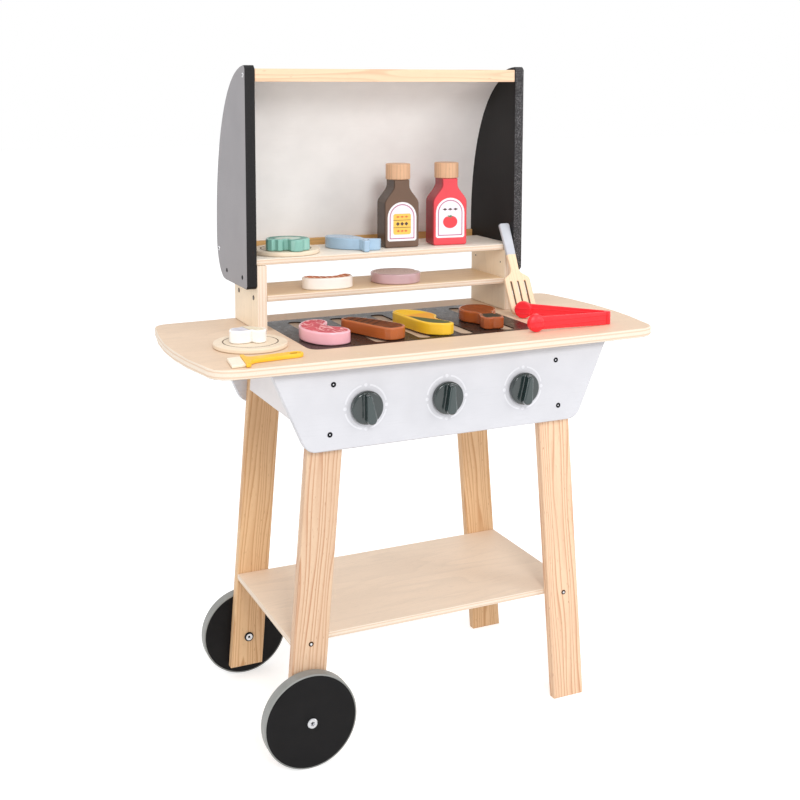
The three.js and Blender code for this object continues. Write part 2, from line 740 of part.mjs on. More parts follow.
// Hood
// Height and depth of the curved edge, inset by the given amount.
const hood_crown = hood_top - hood_curve_start;
function hoodPoint(share, inset) {
  const angle = share * Math.PI * half_share;
  const power = 2 / hood_curve_power;
  return [
    post_y + (hood_depth - inset) * Math.cos(angle) ** power,
    hood_curve_start + (hood_crown - inset) * Math.sin(angle) ** power,
  ];
}
function hoodSideShape() {
  const tail_z = hood_bottom + hood_tail_height;
  const tail_y = post_y + hood_depth - hood_tail_depth;
  const points = [];
  for (let i = 0; i <= corner_steps + corner_steps; i++) {
    const angle = -Math.PI * half_share * (1 - i / (corner_steps + corner_steps));
    points.push([tail_y + hood_tail_depth * Math.cos(angle), tail_z + hood_tail_height * Math.sin(angle)]);
  }
  for (let i = 0; i <= hood_steps; i++) {
    const [y, z] = hoodPoint(i / hood_steps, 0);
    if (y > post_y + hood_front_corner) points.push([y, z]);
  }
  points.push([post_y + hood_front_corner, hood_top], [post_y, hood_top - hood_front_corner]);
  points.push([post_y, hood_bottom + hood_front_corner], [post_y + hood_front_corner, hood_bottom]);
  return new THREE.Shape(points.map(([y, z]) => new THREE.Vector2(y, z)));
}
// The thin back sheet, from behind the top bar down to the rear rail.
function sheetShape(grow) {
  const outer = [];
  const inner = [];
  const first_y = bar_y + bar_depth + fit_gap - grow;
  for (let i = 0; i <= hood_steps; i++) {
    const [y, z] = hoodPoint(i / hood_steps, sheet_inset - grow);
    const [iy, iz] = hoodPoint(i / hood_steps, sheet_inset + sheet_thickness + grow);
    if (y > first_y) outer.push([y, z]);
    if (iy > first_y) inner.push([iy, iz]);
  }
  outer.unshift([outer[0][0], rail_bottom - grow]);
  inner.unshift([inner[0][0], rail_bottom - grow]);
  return new THREE.Shape([...outer, ...inner.reverse()].map(([y, z]) => new THREE.Vector2(y, z)));
}
const sheet_half = hood_inner_x + groove_depth - fit_gap;
const sheetGroove = sideBoard(sheetShape(fit_gap), -hood_inner_x - groove_depth,
  hood_inner_width + groove_depth + groove_depth, 0);
for (const [side, name] of [[-1, 'hood_left_side'], [1, 'hood_right_side']]) {
  const x = side < 0 ? -hood_outer_x : hood_inner_x + fit_gap;
  const board = sideBoard(hoodSideShape(), x, hood_side_thickness, small_edge);
  add(name, cut(board, [sheetGroove]), black_paint);
}
add('hood_back_sheet', sideBoard(sheetShape(0), -sheet_half, sheet_half + sheet_half, 0), sheet_paint);
add('hood_top_bar', sideBoard(rectangle(bar_y, bar_y + bar_depth, bar_top - bar_height, bar_top),
  -hood_inner_x, hood_inner_width, small_edge), pine);
const railShape = rectangle(rail_back_y - rail_depth, rail_back_y, rail_bottom, rail_bottom + rail_height);
add('hood_rear_rail', sideBoard(railShape, -hood_inner_x, hood_inner_width, small_edge), tan_wood);

// Round dishes
const dish = turned([
  [0, 0], [dish_radius - dish_edge, 0], [dish_radius, dish_edge], [dish_radius, dish_thickness - dish_edge],
  [dish_radius - dish_edge, dish_thickness],
  [dish_groove_radius + dish_groove_width * half_share, dish_thickness],
  [dish_groove_radius, dish_thickness - dish_groove_depth],
  [dish_groove_radius - dish_groove_width * half_share, dish_thickness], [0, dish_thickness],
], wheel_steps);
add('table_dish', dish.clone().translate(table_dish_x, table_dish_y, on_table), dish_wood);
add('shelf_dish', dish.clone().translate(shelf_dish_x, shelf_dish_y, on_upper_shelf), dish_wood);

// Bottles
// The bottle's front, from the foot round both shoulders to the neck.
function bottleShape() {
  const half = bottle_width * half_share;
  const neck = bottle_neck_width * half_share;
  const neck_low = bottle_height - bottle_neck_height;
  const curve = (bottle_shoulder + neck_low) * half_share;
  const shape = new THREE.Shape();
  shape.moveTo(-half + bottle_corner, 0);
  shape.lineTo(half - bottle_corner, 0);
  shape.quadraticCurveTo(half, 0, half, bottle_corner);
  shape.lineTo(half, bottle_shoulder);
  shape.bezierCurveTo(half, curve, neck, curve, neck, neck_low);
  shape.lineTo(neck, bottle_height);
  shape.lineTo(-neck, bottle_height);
  shape.lineTo(-neck, neck_low);
  shape.bezierCurveTo(-neck, curve, -half, curve, -half, bottle_shoulder);
  shape.lineTo(-half, bottle_corner);
  shape.quadraticCurveTo(-half, 0, -half + bottle_corner, 0);
  return shape;
}
const bottle = slab(bottleShape(), bottle_depth, bottle_edge)
  .rotateX(Math.PI / 2).translate(0, bottle_depth * half_share, 0);
const cap = turned([
  [0, 0], [cap_radius - cap_edge, 0], [cap_radius, cap_edge], [cap_radius, cap_height - cap_edge],
  [cap_radius - cap_edge, cap_height], [0, cap_height],
], round_steps).translate(0, 0, bottle_height + fit_gap);
const stood = (geometry, x, setback, turn) => geometry.clone()
  .rotateZ(toRadians(turn)).translate(x, upper_shelf_y + setback, on_upper_shelf);
add('sauce_bottle', stood(bottle, sauce_bottle_x, sauce_bottle_setback, sauce_bottle_turn), brown_paint);
add('sauce_cap', stood(cap, sauce_bottle_x, sauce_bottle_setback, sauce_bottle_turn), beech);
add('ketchup_bottle',
  stood(bottle, ketchup_bottle_x, ketchup_bottle_setback, ketchup_bottle_turn), red_paint);
add('ketchup_cap', stood(cap, ketchup_bottle_x, ketchup_bottle_setback, ketchup_bottle_turn), beech);

// Wooden food
const steak_shares = [
  [-0.45, -0.76], [-0.76, -0.42], [-0.97, 0.05], [-0.98, 0.5], [-0.8, 0.82], [-0.5, 0.78], [-0.22, 0.42],
  [0.05, 0.5], [0.3, 0.85], [0.6, 0.98], [0.88, 0.8], [1, 0.3], [0.95, -0.25], [0.72, -0.66],
  [0.35, -0.9], [-0.05, -0.95],
];
const slab_shares = [
  [-1, -0.55], [-0.98, 0.15], [-0.7, 0.62], [-0.2, 0.9], [0.35, 1], [0.75, 0.95], [0.97, 0.5],
  [1, -0.3], [0.92, -0.85], [0.6, -1], [0, -0.96], [-0.55, -0.92], [-0.9, -0.85],
];
const banana_shares = [
  [-0.86, -0.66], [-1, -0.2], [-0.94, 0.3], [-0.7, 0.78], [-0.38, 0.98], [0, 0.92],
  [0.16, 0.56], [0.32, 0.34], [0.58, 0.28],
  [0.82, 0.42], [0.98, 0.3], [0.99, -0.1], [0.88, -0.52], [0.7, -0.86], [0.42, -1], [0, -0.94],
  [-0.5, -0.84],
];
const drumstick_shares = [
  [-0.48, -0.9], [-0.82, -0.6], [-0.98, -0.12], [-0.97, 0.4], [-0.75, 0.85], [-0.4, 1],
  [-0.08, 0.8], [0.14, 0.5],
  [0.42, 0.42], [0.68, 0.62], [0.9, 0.55], [0.96, 0.28], [0.9, 0.06], [0.99, -0.16],
  [0.92, -0.45], [0.68, -0.52],
  [0.38, -0.36], [0.12, -0.5], [-0.12, -0.82],
];
const mushroom_shares = [
  [-1, -0.3], [-0.92, 0.35], [-0.55, 0.6], [-0.4, 0.95], [0.05, 1], [0.45, 0.7], [0.85, 0.55], [1, 0.05],
  [0.94, -0.46], [0.68, -0.78], [0.42, -0.76], [0.24, -0.46], [0.06, -0.72], [-0.2, -0.92], [-0.55, -1],
  [-0.88, -0.8],
];
const pepper_shares = [
  [-1, 0.1], [-0.95, -0.4], [-0.74, -0.7], [-0.58, -0.58], [-0.44, -0.76], [-0.22, -0.72],
  [-0.1, -0.42], [0.06, -0.46],
  [0.16, -0.84], [0.44, -0.99], [0.7, -0.86], [0.78, -0.5], [0.98, -0.3], [1, 0.15],
  [0.82, 0.6], [0.4, 0.9], [-0.05, 1],
  [-0.52, 0.86], [-0.88, 0.52],
];
const fish_shares = [
  [-1, 0], [-0.9, 0.5], [-0.6, 0.86], [-0.2, 0.92], [0.2, 0.66], [0.5, 0.34], [0.72, 0.6],
  [0.92, 0.92], [1, 0.5],
  [0.8, 0], [1, -0.5], [0.92, -0.92], [0.72, -0.6], [0.5, -0.34], [0.2, -0.66], [-0.2, -0.92],
  [-0.6, -0.86], [-0.9, -0.5],
];
const prawn_shares = [
  [-1, 0.05], [-0.9, 0.6], [-0.62, 0.8], [-0.36, 0.5], [-0.05, 0.18], [0.3, 0.26], [0.56, 0.7],
  [0.8, 1], [0.98, 0.7],
  [1, 0.1], [0.85, -0.5], [0.5, -0.88], [0.05, -1], [-0.45, -0.9], [-0.85, -0.5],
];
const onion_shares = [
  [1, 0.16], [0.86, 0.36], [0.8, 0.64], [0.48, 0.9], [0, 1], [-0.6, 0.82], [-0.96, 0.34], [-1, -0.16],
  [-0.7, -0.74], [-0.1, -1], [0.5, -0.9], [0.88, -0.5], [0.99, -0.14],
];
function food(name, outline, place, turn, material, thickness = food_thickness) {
  add(name, slab(softShape(...outline), thickness, food_edge)
    .rotateZ(toRadians(turn)).translate(...place), material);
}
const onPlate = (shift, setback) => [plate_shift_x + shift, plate_y0 + setback, on_table];
food('steak', [steak_shares, steak_length, steak_width],
  onPlate(steak_shift, steak_setback), steak_turn, pink_paint);
food('grilled_slab', [slab_shares, slab_length, slab_width],
  onPlate(slab_shift, slab_setback), slab_turn, roast_paint);
food('banana', [banana_shares, banana_length, banana_width],
  onPlate(banana_shift, banana_setback), banana_turn, yellow_paint);
food('drumstick', [drumstick_shares, drumstick_length, drumstick_width],
  onPlate(drumstick_shift, drumstick_setback), drumstick_turn, chicken_paint);
food('mushroom', [mushroom_shares, mushroom_length, mushroom_width],
  [table_dish_x + mushroom_shift, table_dish_y, on_table + on_dish], mushroom_turn, cream_paint);
food('pepper', [pepper_shares, pepper_length, pepper_width],
  [shelf_dish_x + pepper_shift_x, shelf_dish_y + pepper_shift_y, on_upper_shelf + on_dish],
  pepper_turn, green_paint);
food('fish', [fish_shares, fish_length, fish_width],
  [fish_shift, upper_shelf_y + fish_setback, on_upper_shelf], fish_turn, blue_paint);
food('prawn', [prawn_shares, prawn_length, prawn_width],
  [prawn_shift, post_y + prawn_setback, on_mid_shelf], prawn_turn, cream_paint);
food('onion_slice', [onion_shares, onion_length, onion_width],
  [onion_shift, post_y + onion_setback, on_mid_shelf], onion_turn, mauve_paint, onion_thickness);

// Tongs
// An arm is drawn along +X from the bend at the origin. Side is +1 where the arm's
// outer face looks to +Y, and -1 where it looks to -Y.
const tongs_inner_offset = tongs_bend_radius - tongs_arm_thickness;
const tongs_arm_start = Math.sqrt(tongs_bend_radius ** 2 - tongs_inner_offset ** 2) + fit_gap;
function tongsArm(side, barrel) {
  const start = barrel ? 0 : tongs_arm_start;
  const rise = tongs_tip_radius - tongs_arm_height * half_share;
  const outline = new THREE.Shape([
    [start, 0], [tongs_reach, rise], [tongs_reach, rise + tongs_arm_height], [start, tongs_arm_height],
  ].map(([x, z]) => new THREE.Vector2(x, z)));
  const strip_y = side < 0 ? -tongs_bend_radius : tongs_inner_offset;
  const strip = frontBoard(outline, strip_y, tongs_arm_thickness, 0);
  const tip = turned([
    [0, -tongs_tip_inner], [tongs_tip_radius - small_edge, -tongs_tip_inner],
    [tongs_tip_radius, -tongs_tip_inner + small_edge], [tongs_tip_radius, tongs_tip_inner],
    [tongs_tip_radius - tongs_tip_inner, tongs_tip_dome],
    [tongs_tip_radius * half_share, tongs_tip_dome + small_edge], [0, tongs_tip_dome + small_edge],
  ], round_steps).rotateX(-Math.PI / 2 * side).translate(tongs_reach, 0, tongs_tip_radius);
  const pieces = [strip, tip];
  if (barrel) pieces.push(rod(tongs_bend_radius, 0, tongs_arm_height));
  return join(...pieces);
}
function tongs(name, side, barrel, turn) {
  const arm = tongsArm(side, barrel).rotateZ(toRadians(turn));
  add(name, arm.translate(tongs_hinge_x, tongs_hinge_y, on_table), red_plastic);
}
tongs('tongs_front_arm', 1, false, tongs_front_angle);
tongs('tongs_back_arm', -1, true, tongs_back_angle);

// Spatula
// Drawn standing, its back on Y = 0, then leant against the upper shelf's front edge.
function spatulaShape() {
  const head = spatula_head_width * half_share;
  const neck = spatula_neck_width * half_share;
  const grip = spatula_handle_width * half_share;
  const shoulder = spatula_head_length + neck;
  const shape = new THREE.Shape();
  shape.moveTo(-head + spatula_corner, 0);
  shape.lineTo(head - spatula_corner, 0);
  shape.quadraticCurveTo(head, 0, head, spatula_corner);
  shape.lineTo(head, spatula_head_length);
  shape.bezierCurveTo(head, shoulder, neck, shoulder, neck, spatula_neck_start);
  shape.lineTo(grip, spatula_length - spatula_end_radius);
  shape.quadraticCurveTo(grip, spatula_length, grip - spatula_end_radius, spatula_length);
  shape.lineTo(-grip + spatula_end_radius, spatula_length);
  shape.quadraticCurveTo(-grip, spatula_length, -grip, spatula_length - spatula_end_radius);
  shape.lineTo(-neck, spatula_neck_start);
  shape.bezierCurveTo(-neck, shoulder, -head, shoulder, -head, spatula_head_length);
  shape.lineTo(-head, spatula_corner);
  shape.quadraticCurveTo(-head, 0, -head + spatula_corner, 0);
  for (let i = 0; i < spatula_slots; i++) {
    shape.holes.push(slotShape((i - (spatula_slots - 1) * half_share) * spatula_slot_pitch,
      spatula_slot_start + spatula_slot_length * half_share, spatula_slot_width, spatula_slot_length));
  }
  return shape;
}
const lean_run = upper_shelf_y - fit_gap - fit_gap - spatula_foot_y;
const lean_rise = upper_shelf_top - on_table;
const spatula_lean = Math.atan2(lean_run, lean_rise);
add('spatula', slab(spatulaShape(), spatula_thickness, small_edge).rotateX(Math.PI / 2)
  .rotateX(-spatula_lean).translate(spatula_x, spatula_foot_y, on_table), pale_wood);

// Brush
// Drawn along +X from the joint of head and tip.
const slanted = (x, y) => [x + y * brush_slant_share, y];
function brushShape() {
  const head = brush_head_width * half_share;
  const grip = brush_handle_width * half_share;
  const taper = brush_head_length + brush_taper_length;
  const shape = new THREE.Shape();
  shape.moveTo(...slanted(0, -head));
  shape.lineTo(...slanted(brush_head_length, -head));
  shape.quadraticCurveTo(brush_head_length, -grip, taper, -grip);
  shape.lineTo(brush_handle_length - grip, -grip);
  shape.absarc(brush_handle_length - grip, 0, grip, -Math.PI * half_share, Math.PI * half_share, false);
  shape.lineTo(taper, grip);
  shape.quadraticCurveTo(brush_head_length, grip, ...slanted(brush_head_length, head));
  shape.lineTo(...slanted(0, head));
  shape.closePath();
  const radius = brush_hole_width * half_share;
  const hole_end = brush_handle_length - brush_hole_margin - radius;
  const hole_start = hole_end - brush_hole_length + brush_hole_width;
  const hole = new THREE.Path();
  hole.absarc(hole_end, 0, radius, -Math.PI * half_share, Math.PI * half_share, false);
  hole.absarc(hole_start, 0, radius, Math.PI * half_share, Math.PI * 3 * half_share, false);
  hole.closePath();
  shape.holes.push(hole);
  return shape;
}
const laid = (geometry, z) => geometry
  .rotateZ(toRadians(brush_turn)).translate(brush_joint_x, brush_joint_y, z);
add('brush_handle', laid(slab(brushShape(), brush_thickness, small_edge), on_table), brush_yellow);
const tip_half = brush_tip_width * half_share;
const brushTipShape = new THREE.Shape([
  slanted(-brush_tip_length, -tip_half), slanted(-fit_gap, -tip_half),
  slanted(-fit_gap, tip_half), slanted(-brush_tip_length, tip_half),
].map(([x, y]) => new THREE.Vector2(x, y)));
add('brush_tip', laid(slab(brushTipShape, brush_tip_thickness, small_edge), on_table), brush_cream);

export default root;
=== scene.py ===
"""Finishes, prints and small fasteners of a wooden toy barbecue grill, built round its fixed frame.

Metres. +X is to the right of someone standing at the knobs, +Y is away from them, +Z is up.
"""

import json
import math

import bmesh
import bpy
from mathutils import Matrix, Vector
from mathutils.geometry import interpolate_bezier

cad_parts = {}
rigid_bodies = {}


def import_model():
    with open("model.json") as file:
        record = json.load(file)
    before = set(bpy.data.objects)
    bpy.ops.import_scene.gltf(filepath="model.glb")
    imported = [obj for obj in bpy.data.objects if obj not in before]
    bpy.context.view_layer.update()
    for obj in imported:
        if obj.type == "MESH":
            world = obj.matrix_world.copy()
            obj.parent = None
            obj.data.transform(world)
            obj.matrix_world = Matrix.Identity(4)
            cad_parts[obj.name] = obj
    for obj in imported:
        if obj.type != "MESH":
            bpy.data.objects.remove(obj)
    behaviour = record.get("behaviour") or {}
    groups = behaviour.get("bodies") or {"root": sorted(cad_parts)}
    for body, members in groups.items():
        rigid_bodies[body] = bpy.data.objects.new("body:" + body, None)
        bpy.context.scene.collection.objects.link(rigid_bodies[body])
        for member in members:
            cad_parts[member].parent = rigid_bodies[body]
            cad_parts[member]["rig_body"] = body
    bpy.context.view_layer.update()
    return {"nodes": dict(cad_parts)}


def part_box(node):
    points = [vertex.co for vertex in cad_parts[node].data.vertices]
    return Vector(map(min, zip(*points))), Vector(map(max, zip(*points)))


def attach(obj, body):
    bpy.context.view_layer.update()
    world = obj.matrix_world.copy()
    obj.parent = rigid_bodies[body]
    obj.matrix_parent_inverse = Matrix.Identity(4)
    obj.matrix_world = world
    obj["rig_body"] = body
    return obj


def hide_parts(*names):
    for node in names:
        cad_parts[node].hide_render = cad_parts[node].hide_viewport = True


bl_info = {
    "name": "Toy Barbecue Grill",
    "version": (1, 0, 0),
    "blender": (4, 5, 0),
    "location": "View3D > Sidebar > Toy Grill",
    "description": "Finishes, prints and small fasteners of a wooden toy barbecue grill",
    "category": "Add Mesh",
}

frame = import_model()
node = frame["nodes"]
mm = 0.001
BODY = "frame"
WELD = 0.001 * mm
CREASE = 38  # degrees over which an edge stays sharp


# Values that a user would change
def linear(*levels):
    """Scene-linear colour from display levels of 0 to 255."""
    shares = [level / 255 for level in levels]
    return tuple(s / 12.92 if s <= 0.04 else ((s + 0.055) / 1.055) ** 2.4 for s in shares)


def colour(name, description, *levels):
    return bpy.props.FloatVectorProperty(
        name=name, description=description, subtype="COLOR", size=3, min=0, max=1,
        default=linear(*levels))


def length(name, description, millimetres):
    return bpy.props.FloatProperty(
        name=name, description=description, subtype="DISTANCE", unit="LENGTH", min=0,
        default=millimetres * mm, precision=5)


def angle(name, description, degrees):
    return bpy.props.FloatProperty(
        name=name, description=description, subtype="ANGLE", unit="ROTATION",
        default=math.radians(degrees))


class GrillColours(bpy.types.PropertyGroup):
    """Colours of the toy's woods, paints and plastics."""

    veneer: colour("Tabletop", "Birch face of the tabletop", 232, 205, 178)
    shelf: colour("Lower shelf", "Birch face of the lower shelf", 250, 228, 205)
    post: colour("Posts", "Birch faces of the two posts", 252, 234, 208)
    top_shelf: colour("Upper shelf", "Birch face of the upper shelf", 247, 237, 223)
    # The middle shelf's birch is painted darker and more tan than the other birch faces: a painted
    # shade.
    mid_shelf: colour("Middle shelf", "Birch face of the middle shelf", 234, 206, 170)
    ply: colour("Ply edge", "Light layers at the boards' edges", 238, 224, 207)
    ply_dark: colour("Ply glue line", "Dark layers at the boards' edges", 222, 193, 166)
    pine: colour("Pine", "Soft wood between the growth rings", 242, 209, 176)
    pine_ring: colour("Pine ring", "Hard wood of the growth rings", 206, 152, 117)
    rear_pine: colour("Rear pine", "Soft wood of the two rear legs", 227, 190, 148)
    rear_ring: colour("Rear pine ring", "Growth rings of the two rear legs", 197, 148, 102)
    panel: colour("Panels", "Paint of the front and rear panels", 210, 210, 215)
    side_board: colour("Side boards", "Paint of the two side boards", 234, 231, 233)
    black: colour("Black paint", "Hood sides and wheel discs", 27, 26, 27)
    plate: colour("Grill plate", "Satin paint of the grill plate", 47, 35, 30)
    hood_outside: colour("Hood outside", "Outer faces of the hood sides", 154, 151, 154)
    sheet: colour("Hood sheet", "Bent back sheet of the hood", 244, 241, 239)
    rail: colour("Rear rail", "Strip along the foot of the hood's back", 212, 168, 108)
    knob: colour("Knobs", "Glossy plastic of the knobs", 22, 38, 38)
    dial: colour("Dial marks", "Ring and dots round each knob", 227, 227, 232)
    tyre: colour("Tyres", "Rubber round the wheels", 138, 139, 136)
    zinc: colour("Zinc", "Plated bolts and screws", 224, 225, 228)
    black_steel: colour("Black steel", "Dark screws", 34, 34, 38)
    cap: colour("Caps", "Turned beech of the bottle caps", 218, 174, 138)
    dish: colour("Dishes", "Turned wood of the round dishes", 240, 222, 198)
    groove: colour("Groove", "Burnt ring in the dishes", 112, 90, 70)
    sauce: colour("Sauce bottle", "Brown paint", 116, 94, 81)
    ketchup: colour("Ketchup bottle", "Red paint", 230, 86, 94)
    label: colour("Labels", "Paper of the labels", 243, 240, 245)
    label_line: colour("Label line", "Thin arch on the labels", 176, 88, 126)
    label_field: colour("Label field", "Ground inside the arch", 240, 233, 243)
    ornament: colour("Ornament", "Bright ornaments on the sauce label", 214, 112, 62)
    ornament_dark: colour("Dark ornament", "Dark ornaments on the labels", 78, 62, 58)
    label_block: colour("Label block", "Block on the sauce label", 246, 196, 92)
    tomato: colour("Tomato", "Fruit on the ketchup label", 236, 70, 78)
    leaf: colour("Leaf", "Stalk on the ketchup label", 92, 132, 96)
    steak: colour("Steak", "Side of the steak", 245, 182, 194)
    steak_top: colour("Steak print", "Top of the steak", 200, 84, 94)
    slab: colour("Grilled slab", "Side of the grilled slab", 184, 98, 48)
    banana: colour("Banana", "Side of the banana", 246, 196, 50)
    banana_top: colour("Banana print", "Top of the banana", 228, 160, 62)
    drumstick: colour("Drumstick", "Side of the drumstick", 168, 84, 40)
    mushroom: colour("Mushroom", "Side of the mushroom", 250, 247, 243)
    pepper: colour("Pepper", "Side of the pepper", 134, 188, 175)
    fish: colour("Fish", "Side of the fish", 168, 196, 220)
    prawn: colour("Prawn", "Side of the prawn", 250, 243, 236)
    prawn_top: colour("Prawn print", "Top of the prawn", 212, 126, 84)
    onion: colour("Onion", "Side of the onion slice", 200, 166, 171)
    onion_top: colour("Onion print", "Top of the onion slice", 216, 198, 195)
    tongs: colour("Tongs", "Satin plastic of the tongs", 252, 42, 54)
    spatula: colour("Spatula", "Bare wood of the spatula", 250, 220, 186)
    spatula_end: colour("Spatula end", "Dipped end of the handle", 196, 199, 207)
    brush: colour("Brush", "Paint of the brush handle", 252, 196, 56)
    brush_tip: colour("Brush tip", "Cream end of the brush", 253, 241, 222)


class GrillSizes(bpy.types.PropertyGroup):
    """Sizes of the details that the frame's solids leave out."""

    food_round: length("Food edge", "Rounding of the painted food", 1.9)
    food_rim: length("Steak rim", "Bare rim round the steak's print", 3.2)
    bottle_round: length("Bottle edge", "Rounding of the bottles", 2.2)
    bottle_shoulder: length("Shoulder", "Foot of a bottle to where its sides draw in", 61.5)
    bottle_neck: length("Neck", "Foot of a bottle to where its neck is straight", 87)
    slot_width: length("Slot width", "Width of the grill plate's slots", 19)
    dial_radius: length("Dial radius", "Middle of the ring round a knob", 27.5)
    dial_line: length("Dial line", "Width of the ring round a knob", 2.1)
    dial_dot: length("Dial dot", "Radius of the dots on the ring", 2.3)
    wood_screw: length("Wood screw", "Radius of the joining screws' heads", 3.3)
    hood_screw: length("Hood screw", "Radius of the hood screws' heads", 3)
    plug: length("Plug", "Radius of the dowels in the tabletop", 3)
    label_width: length("Label width", "Width of a bottle label", 43)
    label_line: length("Label border", "Label edge to its thin arch", 3)
    knob_voxel: length("Knob detail", "Grid on which the knobs are smoothed", 0.42)
    tongs_voxel: length("Tongs detail", "Grid on which the tongs are smoothed", 0.5)
    rib_level: length("Tongs ribs", "Foot of the tongs to midway between their ribs", 10.4)
    leg_lean: angle("Leg lean", "Lean of each leg's grain", 4.56)
    sauce_turn: angle("Sauce turn", "Turn of the sauce bottle", -5)
    ketchup_turn: angle("Ketchup turn", "Turn of the ketchup bottle", -8)


class GrillSettings(bpy.types.PropertyGroup):
    """Everything about the toy that can be changed."""

    colours: bpy.props.PointerProperty(
        type=GrillColours, name="Colours", description="Colours of the toy")
    sizes: bpy.props.PointerProperty(
        type=GrillSizes, name="Sizes", description="Sizes of its small details")


# Materials
def tone(paint, share):
    """The colour, darker under 1 and lighter over it."""
    return tuple(min(1.0, level * share) for level in paint)


def blend_of(first, second, share):
    return tuple(a + (b - a) * share for a, b in zip(first, second))


def along(axis, long, across):
    """Sizes of a pattern that is long on one axis and narrow on the others."""
    return tuple(long if name == axis else across for name in "XYZ")


class Nodes:
    """A node tree, and a short way to add nodes that are already fed."""

    family = "ShaderNode"

    def __init__(self, tree):
        self.tree = tree

    def put(self, socket, value):
        if isinstance(value, bpy.types.NodeSocket):
            self.tree.links.new(value, socket)
        elif socket.type == "RGBA":
            socket.default_value = (*value, 1)
        else:
            socket.default_value = value

    def make(self, kind, inputs=(), output=0, **settings):
        """A node's output; kinds of another family come with their full name."""
        whole = kind.startswith(("FunctionNode", "ShaderNode"))
        made = self.tree.nodes.new(kind if whole else self.family + kind)
        for key, value in settings.items():
            setattr(made, key, value)
        for key, value in dict(inputs).items():
            self.put(made.inputs[key], value)
        return made.outputs[output]

    def by_ray(self, hidden, seen, output):
        """Ends in one shader, and in another on camera, glossy and transmission rays."""
        rays = self.make("LightPath").node.outputs
        share = rays["Is Camera Ray"]
        for kind in ("Is Glossy Ray", "Is Transmission Ray"):
            share = self.make("Math", {0: share, 1: rays[kind]}, operation="MAXIMUM")
        choice = self.make("MixShader", {0: share, 1: hidden, 2: seen})
        self.put(self.tree.nodes[output].inputs[0], choice)


class Finish(Nodes):
    """One material: its shader, and the nodes that feed it."""

    def __init__(self, name, roughness, specular=0.5, metallic=0.0, coat=0.0):
        self.material = bpy.data.materials.new(name)
        self.material.use_nodes = True
        super().__init__(self.material.node_tree)
        self.shader = self.tree.nodes["Principled BSDF"]
        for key, value in (("Roughness", roughness), ("Specular IOR Level", specular),
                           ("Metallic", metallic), ("Coat Weight", coat),
                           ("Coat Roughness", 0.12)):
            self.shader.inputs[key].default_value = value
        self.places = self.tree.nodes.new("ShaderNodeTexCoord")

    def spot(self, size=1.0, at=(0, 0, 0), turn=(0, 0, 0)):
        """Object coordinates about a point, turned, in units of size."""
        size = size if isinstance(size, tuple) else (size,) * 3
        return self.make("Mapping", {
            "Vector": self.places.outputs["Object"], "Location": at, "Rotation": turn,
            "Scale": size}, vector_type="TEXTURE")

    def parts(self, *spot):
        """The three Object coordinates, each on its own."""
        return self.make("SeparateXYZ", {0: self.spot(*spot)}).node.outputs

    def reach(self, *spot):
        """Distance from a point, in units of size."""
        return self.make("VectorMath", {0: self.spot(*spot)}, "Value", operation="LENGTH")

    def noise(self, size, detail=2.0, rough=0.5, distortion=0.0, where=()):
        """Cloudy values of 0 to 1 in units of size, about a place and with a turn if given."""
        return self.make("TexNoise", {
            "Vector": self.spot(size, *where), "Scale": 1.0, "Detail": detail,
            "Roughness": rough, "Distortion": distortion})

    def sum(self, operation, *values):
        return self.make("Math", dict(enumerate(values)), operation=operation)

    def times(self, first, second):
        return self.sum("MULTIPLY", first, second)

    def unsigned(self, value):
        return self.sum("ABSOLUTE", value)

    def off(self, value, centre=0.5):
        """How far the value is from a centre, on either side."""
        return self.unsigned(self.sum("SUBTRACT", value, centre))

    def squares(self, x, y):
        return self.sum("MULTIPLY_ADD", x, x, self.times(y, y))

    def step(self, value, low, high):
        """0 under low and 1 over high, with a smooth rise between them."""
        return self.make("MapRange", {"Value": value, "From Min": low, "From Max": high},
                         interpolation_type="SMOOTHSTEP")

    def ramp(self, value, *stops):
        made = self.make("ValToRGB", {0: value})
        band = made.node.color_ramp
        while len(band.elements) < len(stops):
            band.elements.new(1.0)
        for element, (place, paint) in zip(band.elements, stops):
            element.position = place
            element.color = (*paint, 1)
        return made

    def cloudy(self, paint, low, high, size, detail=2.0):
        """The paint, drifting between a darker and a lighter tone of itself."""
        stops = (0.3, tone(paint, low)), (0.7, tone(paint, high))
        return self.ramp(self.noise(size, detail), *stops)

    def mix(self, share, first, second):
        made = self.make("Mix", output=2, data_type="RGBA")
        for index, value in ((0, share), (6, first), (7, second)):
            self.put(made.node.inputs[index], value)
        return made

    def facing(self, axis):
        """How squarely the surface looks along an axis, with its sign."""
        normal = self.places.outputs["Normal"]
        return self.make("SeparateXYZ", {0: normal}, "XYZ".index(axis))

    def square_on(self, axis, low, high):
        """1 on faces that look either way along an axis."""
        return self.step(self.unsigned(self.facing(axis)), low, high)

    def paint(self, value):
        self.put(self.shader.inputs["Base Color"], value)
        return self

    def polish(self, value, low, high):
        """Roughness that goes from low to high with the value."""
        stops = (0.3, (low,) * 3), (0.7, (high,) * 3)
        self.put(self.shader.inputs["Roughness"], self.ramp(value, *stops))

    def relief(self, height, depth, strength):
        self.put(self.shader.inputs["Normal"], self.make("Bump", {
            "Height": height, "Distance": depth, "Strength": strength}))
        return self


def painted(name, paint, roughness=0.5, specular=0.4, grain="X", relief=0.00012, streak=0.97):
    """Sprayed satin paint on wood: faint mottling, fine peel and a hint of the grain."""
    finish = Finish(name, roughness, specular)
    wear = finish.noise(along(grain, 0.03, 0.0022))
    base = finish.cloudy(paint, 0.965, 1.025, 0.04, 3)
    finish.paint(finish.mix(finish.step(wear, 0.5, 0.8), base, tone(paint, streak)))
    finish.polish(finish.noise(0.006), roughness - 0.05, roughness + 0.06)
    return finish.relief(finish.sum("ADD", finish.noise(0.0011), wear), relief, 0.5)


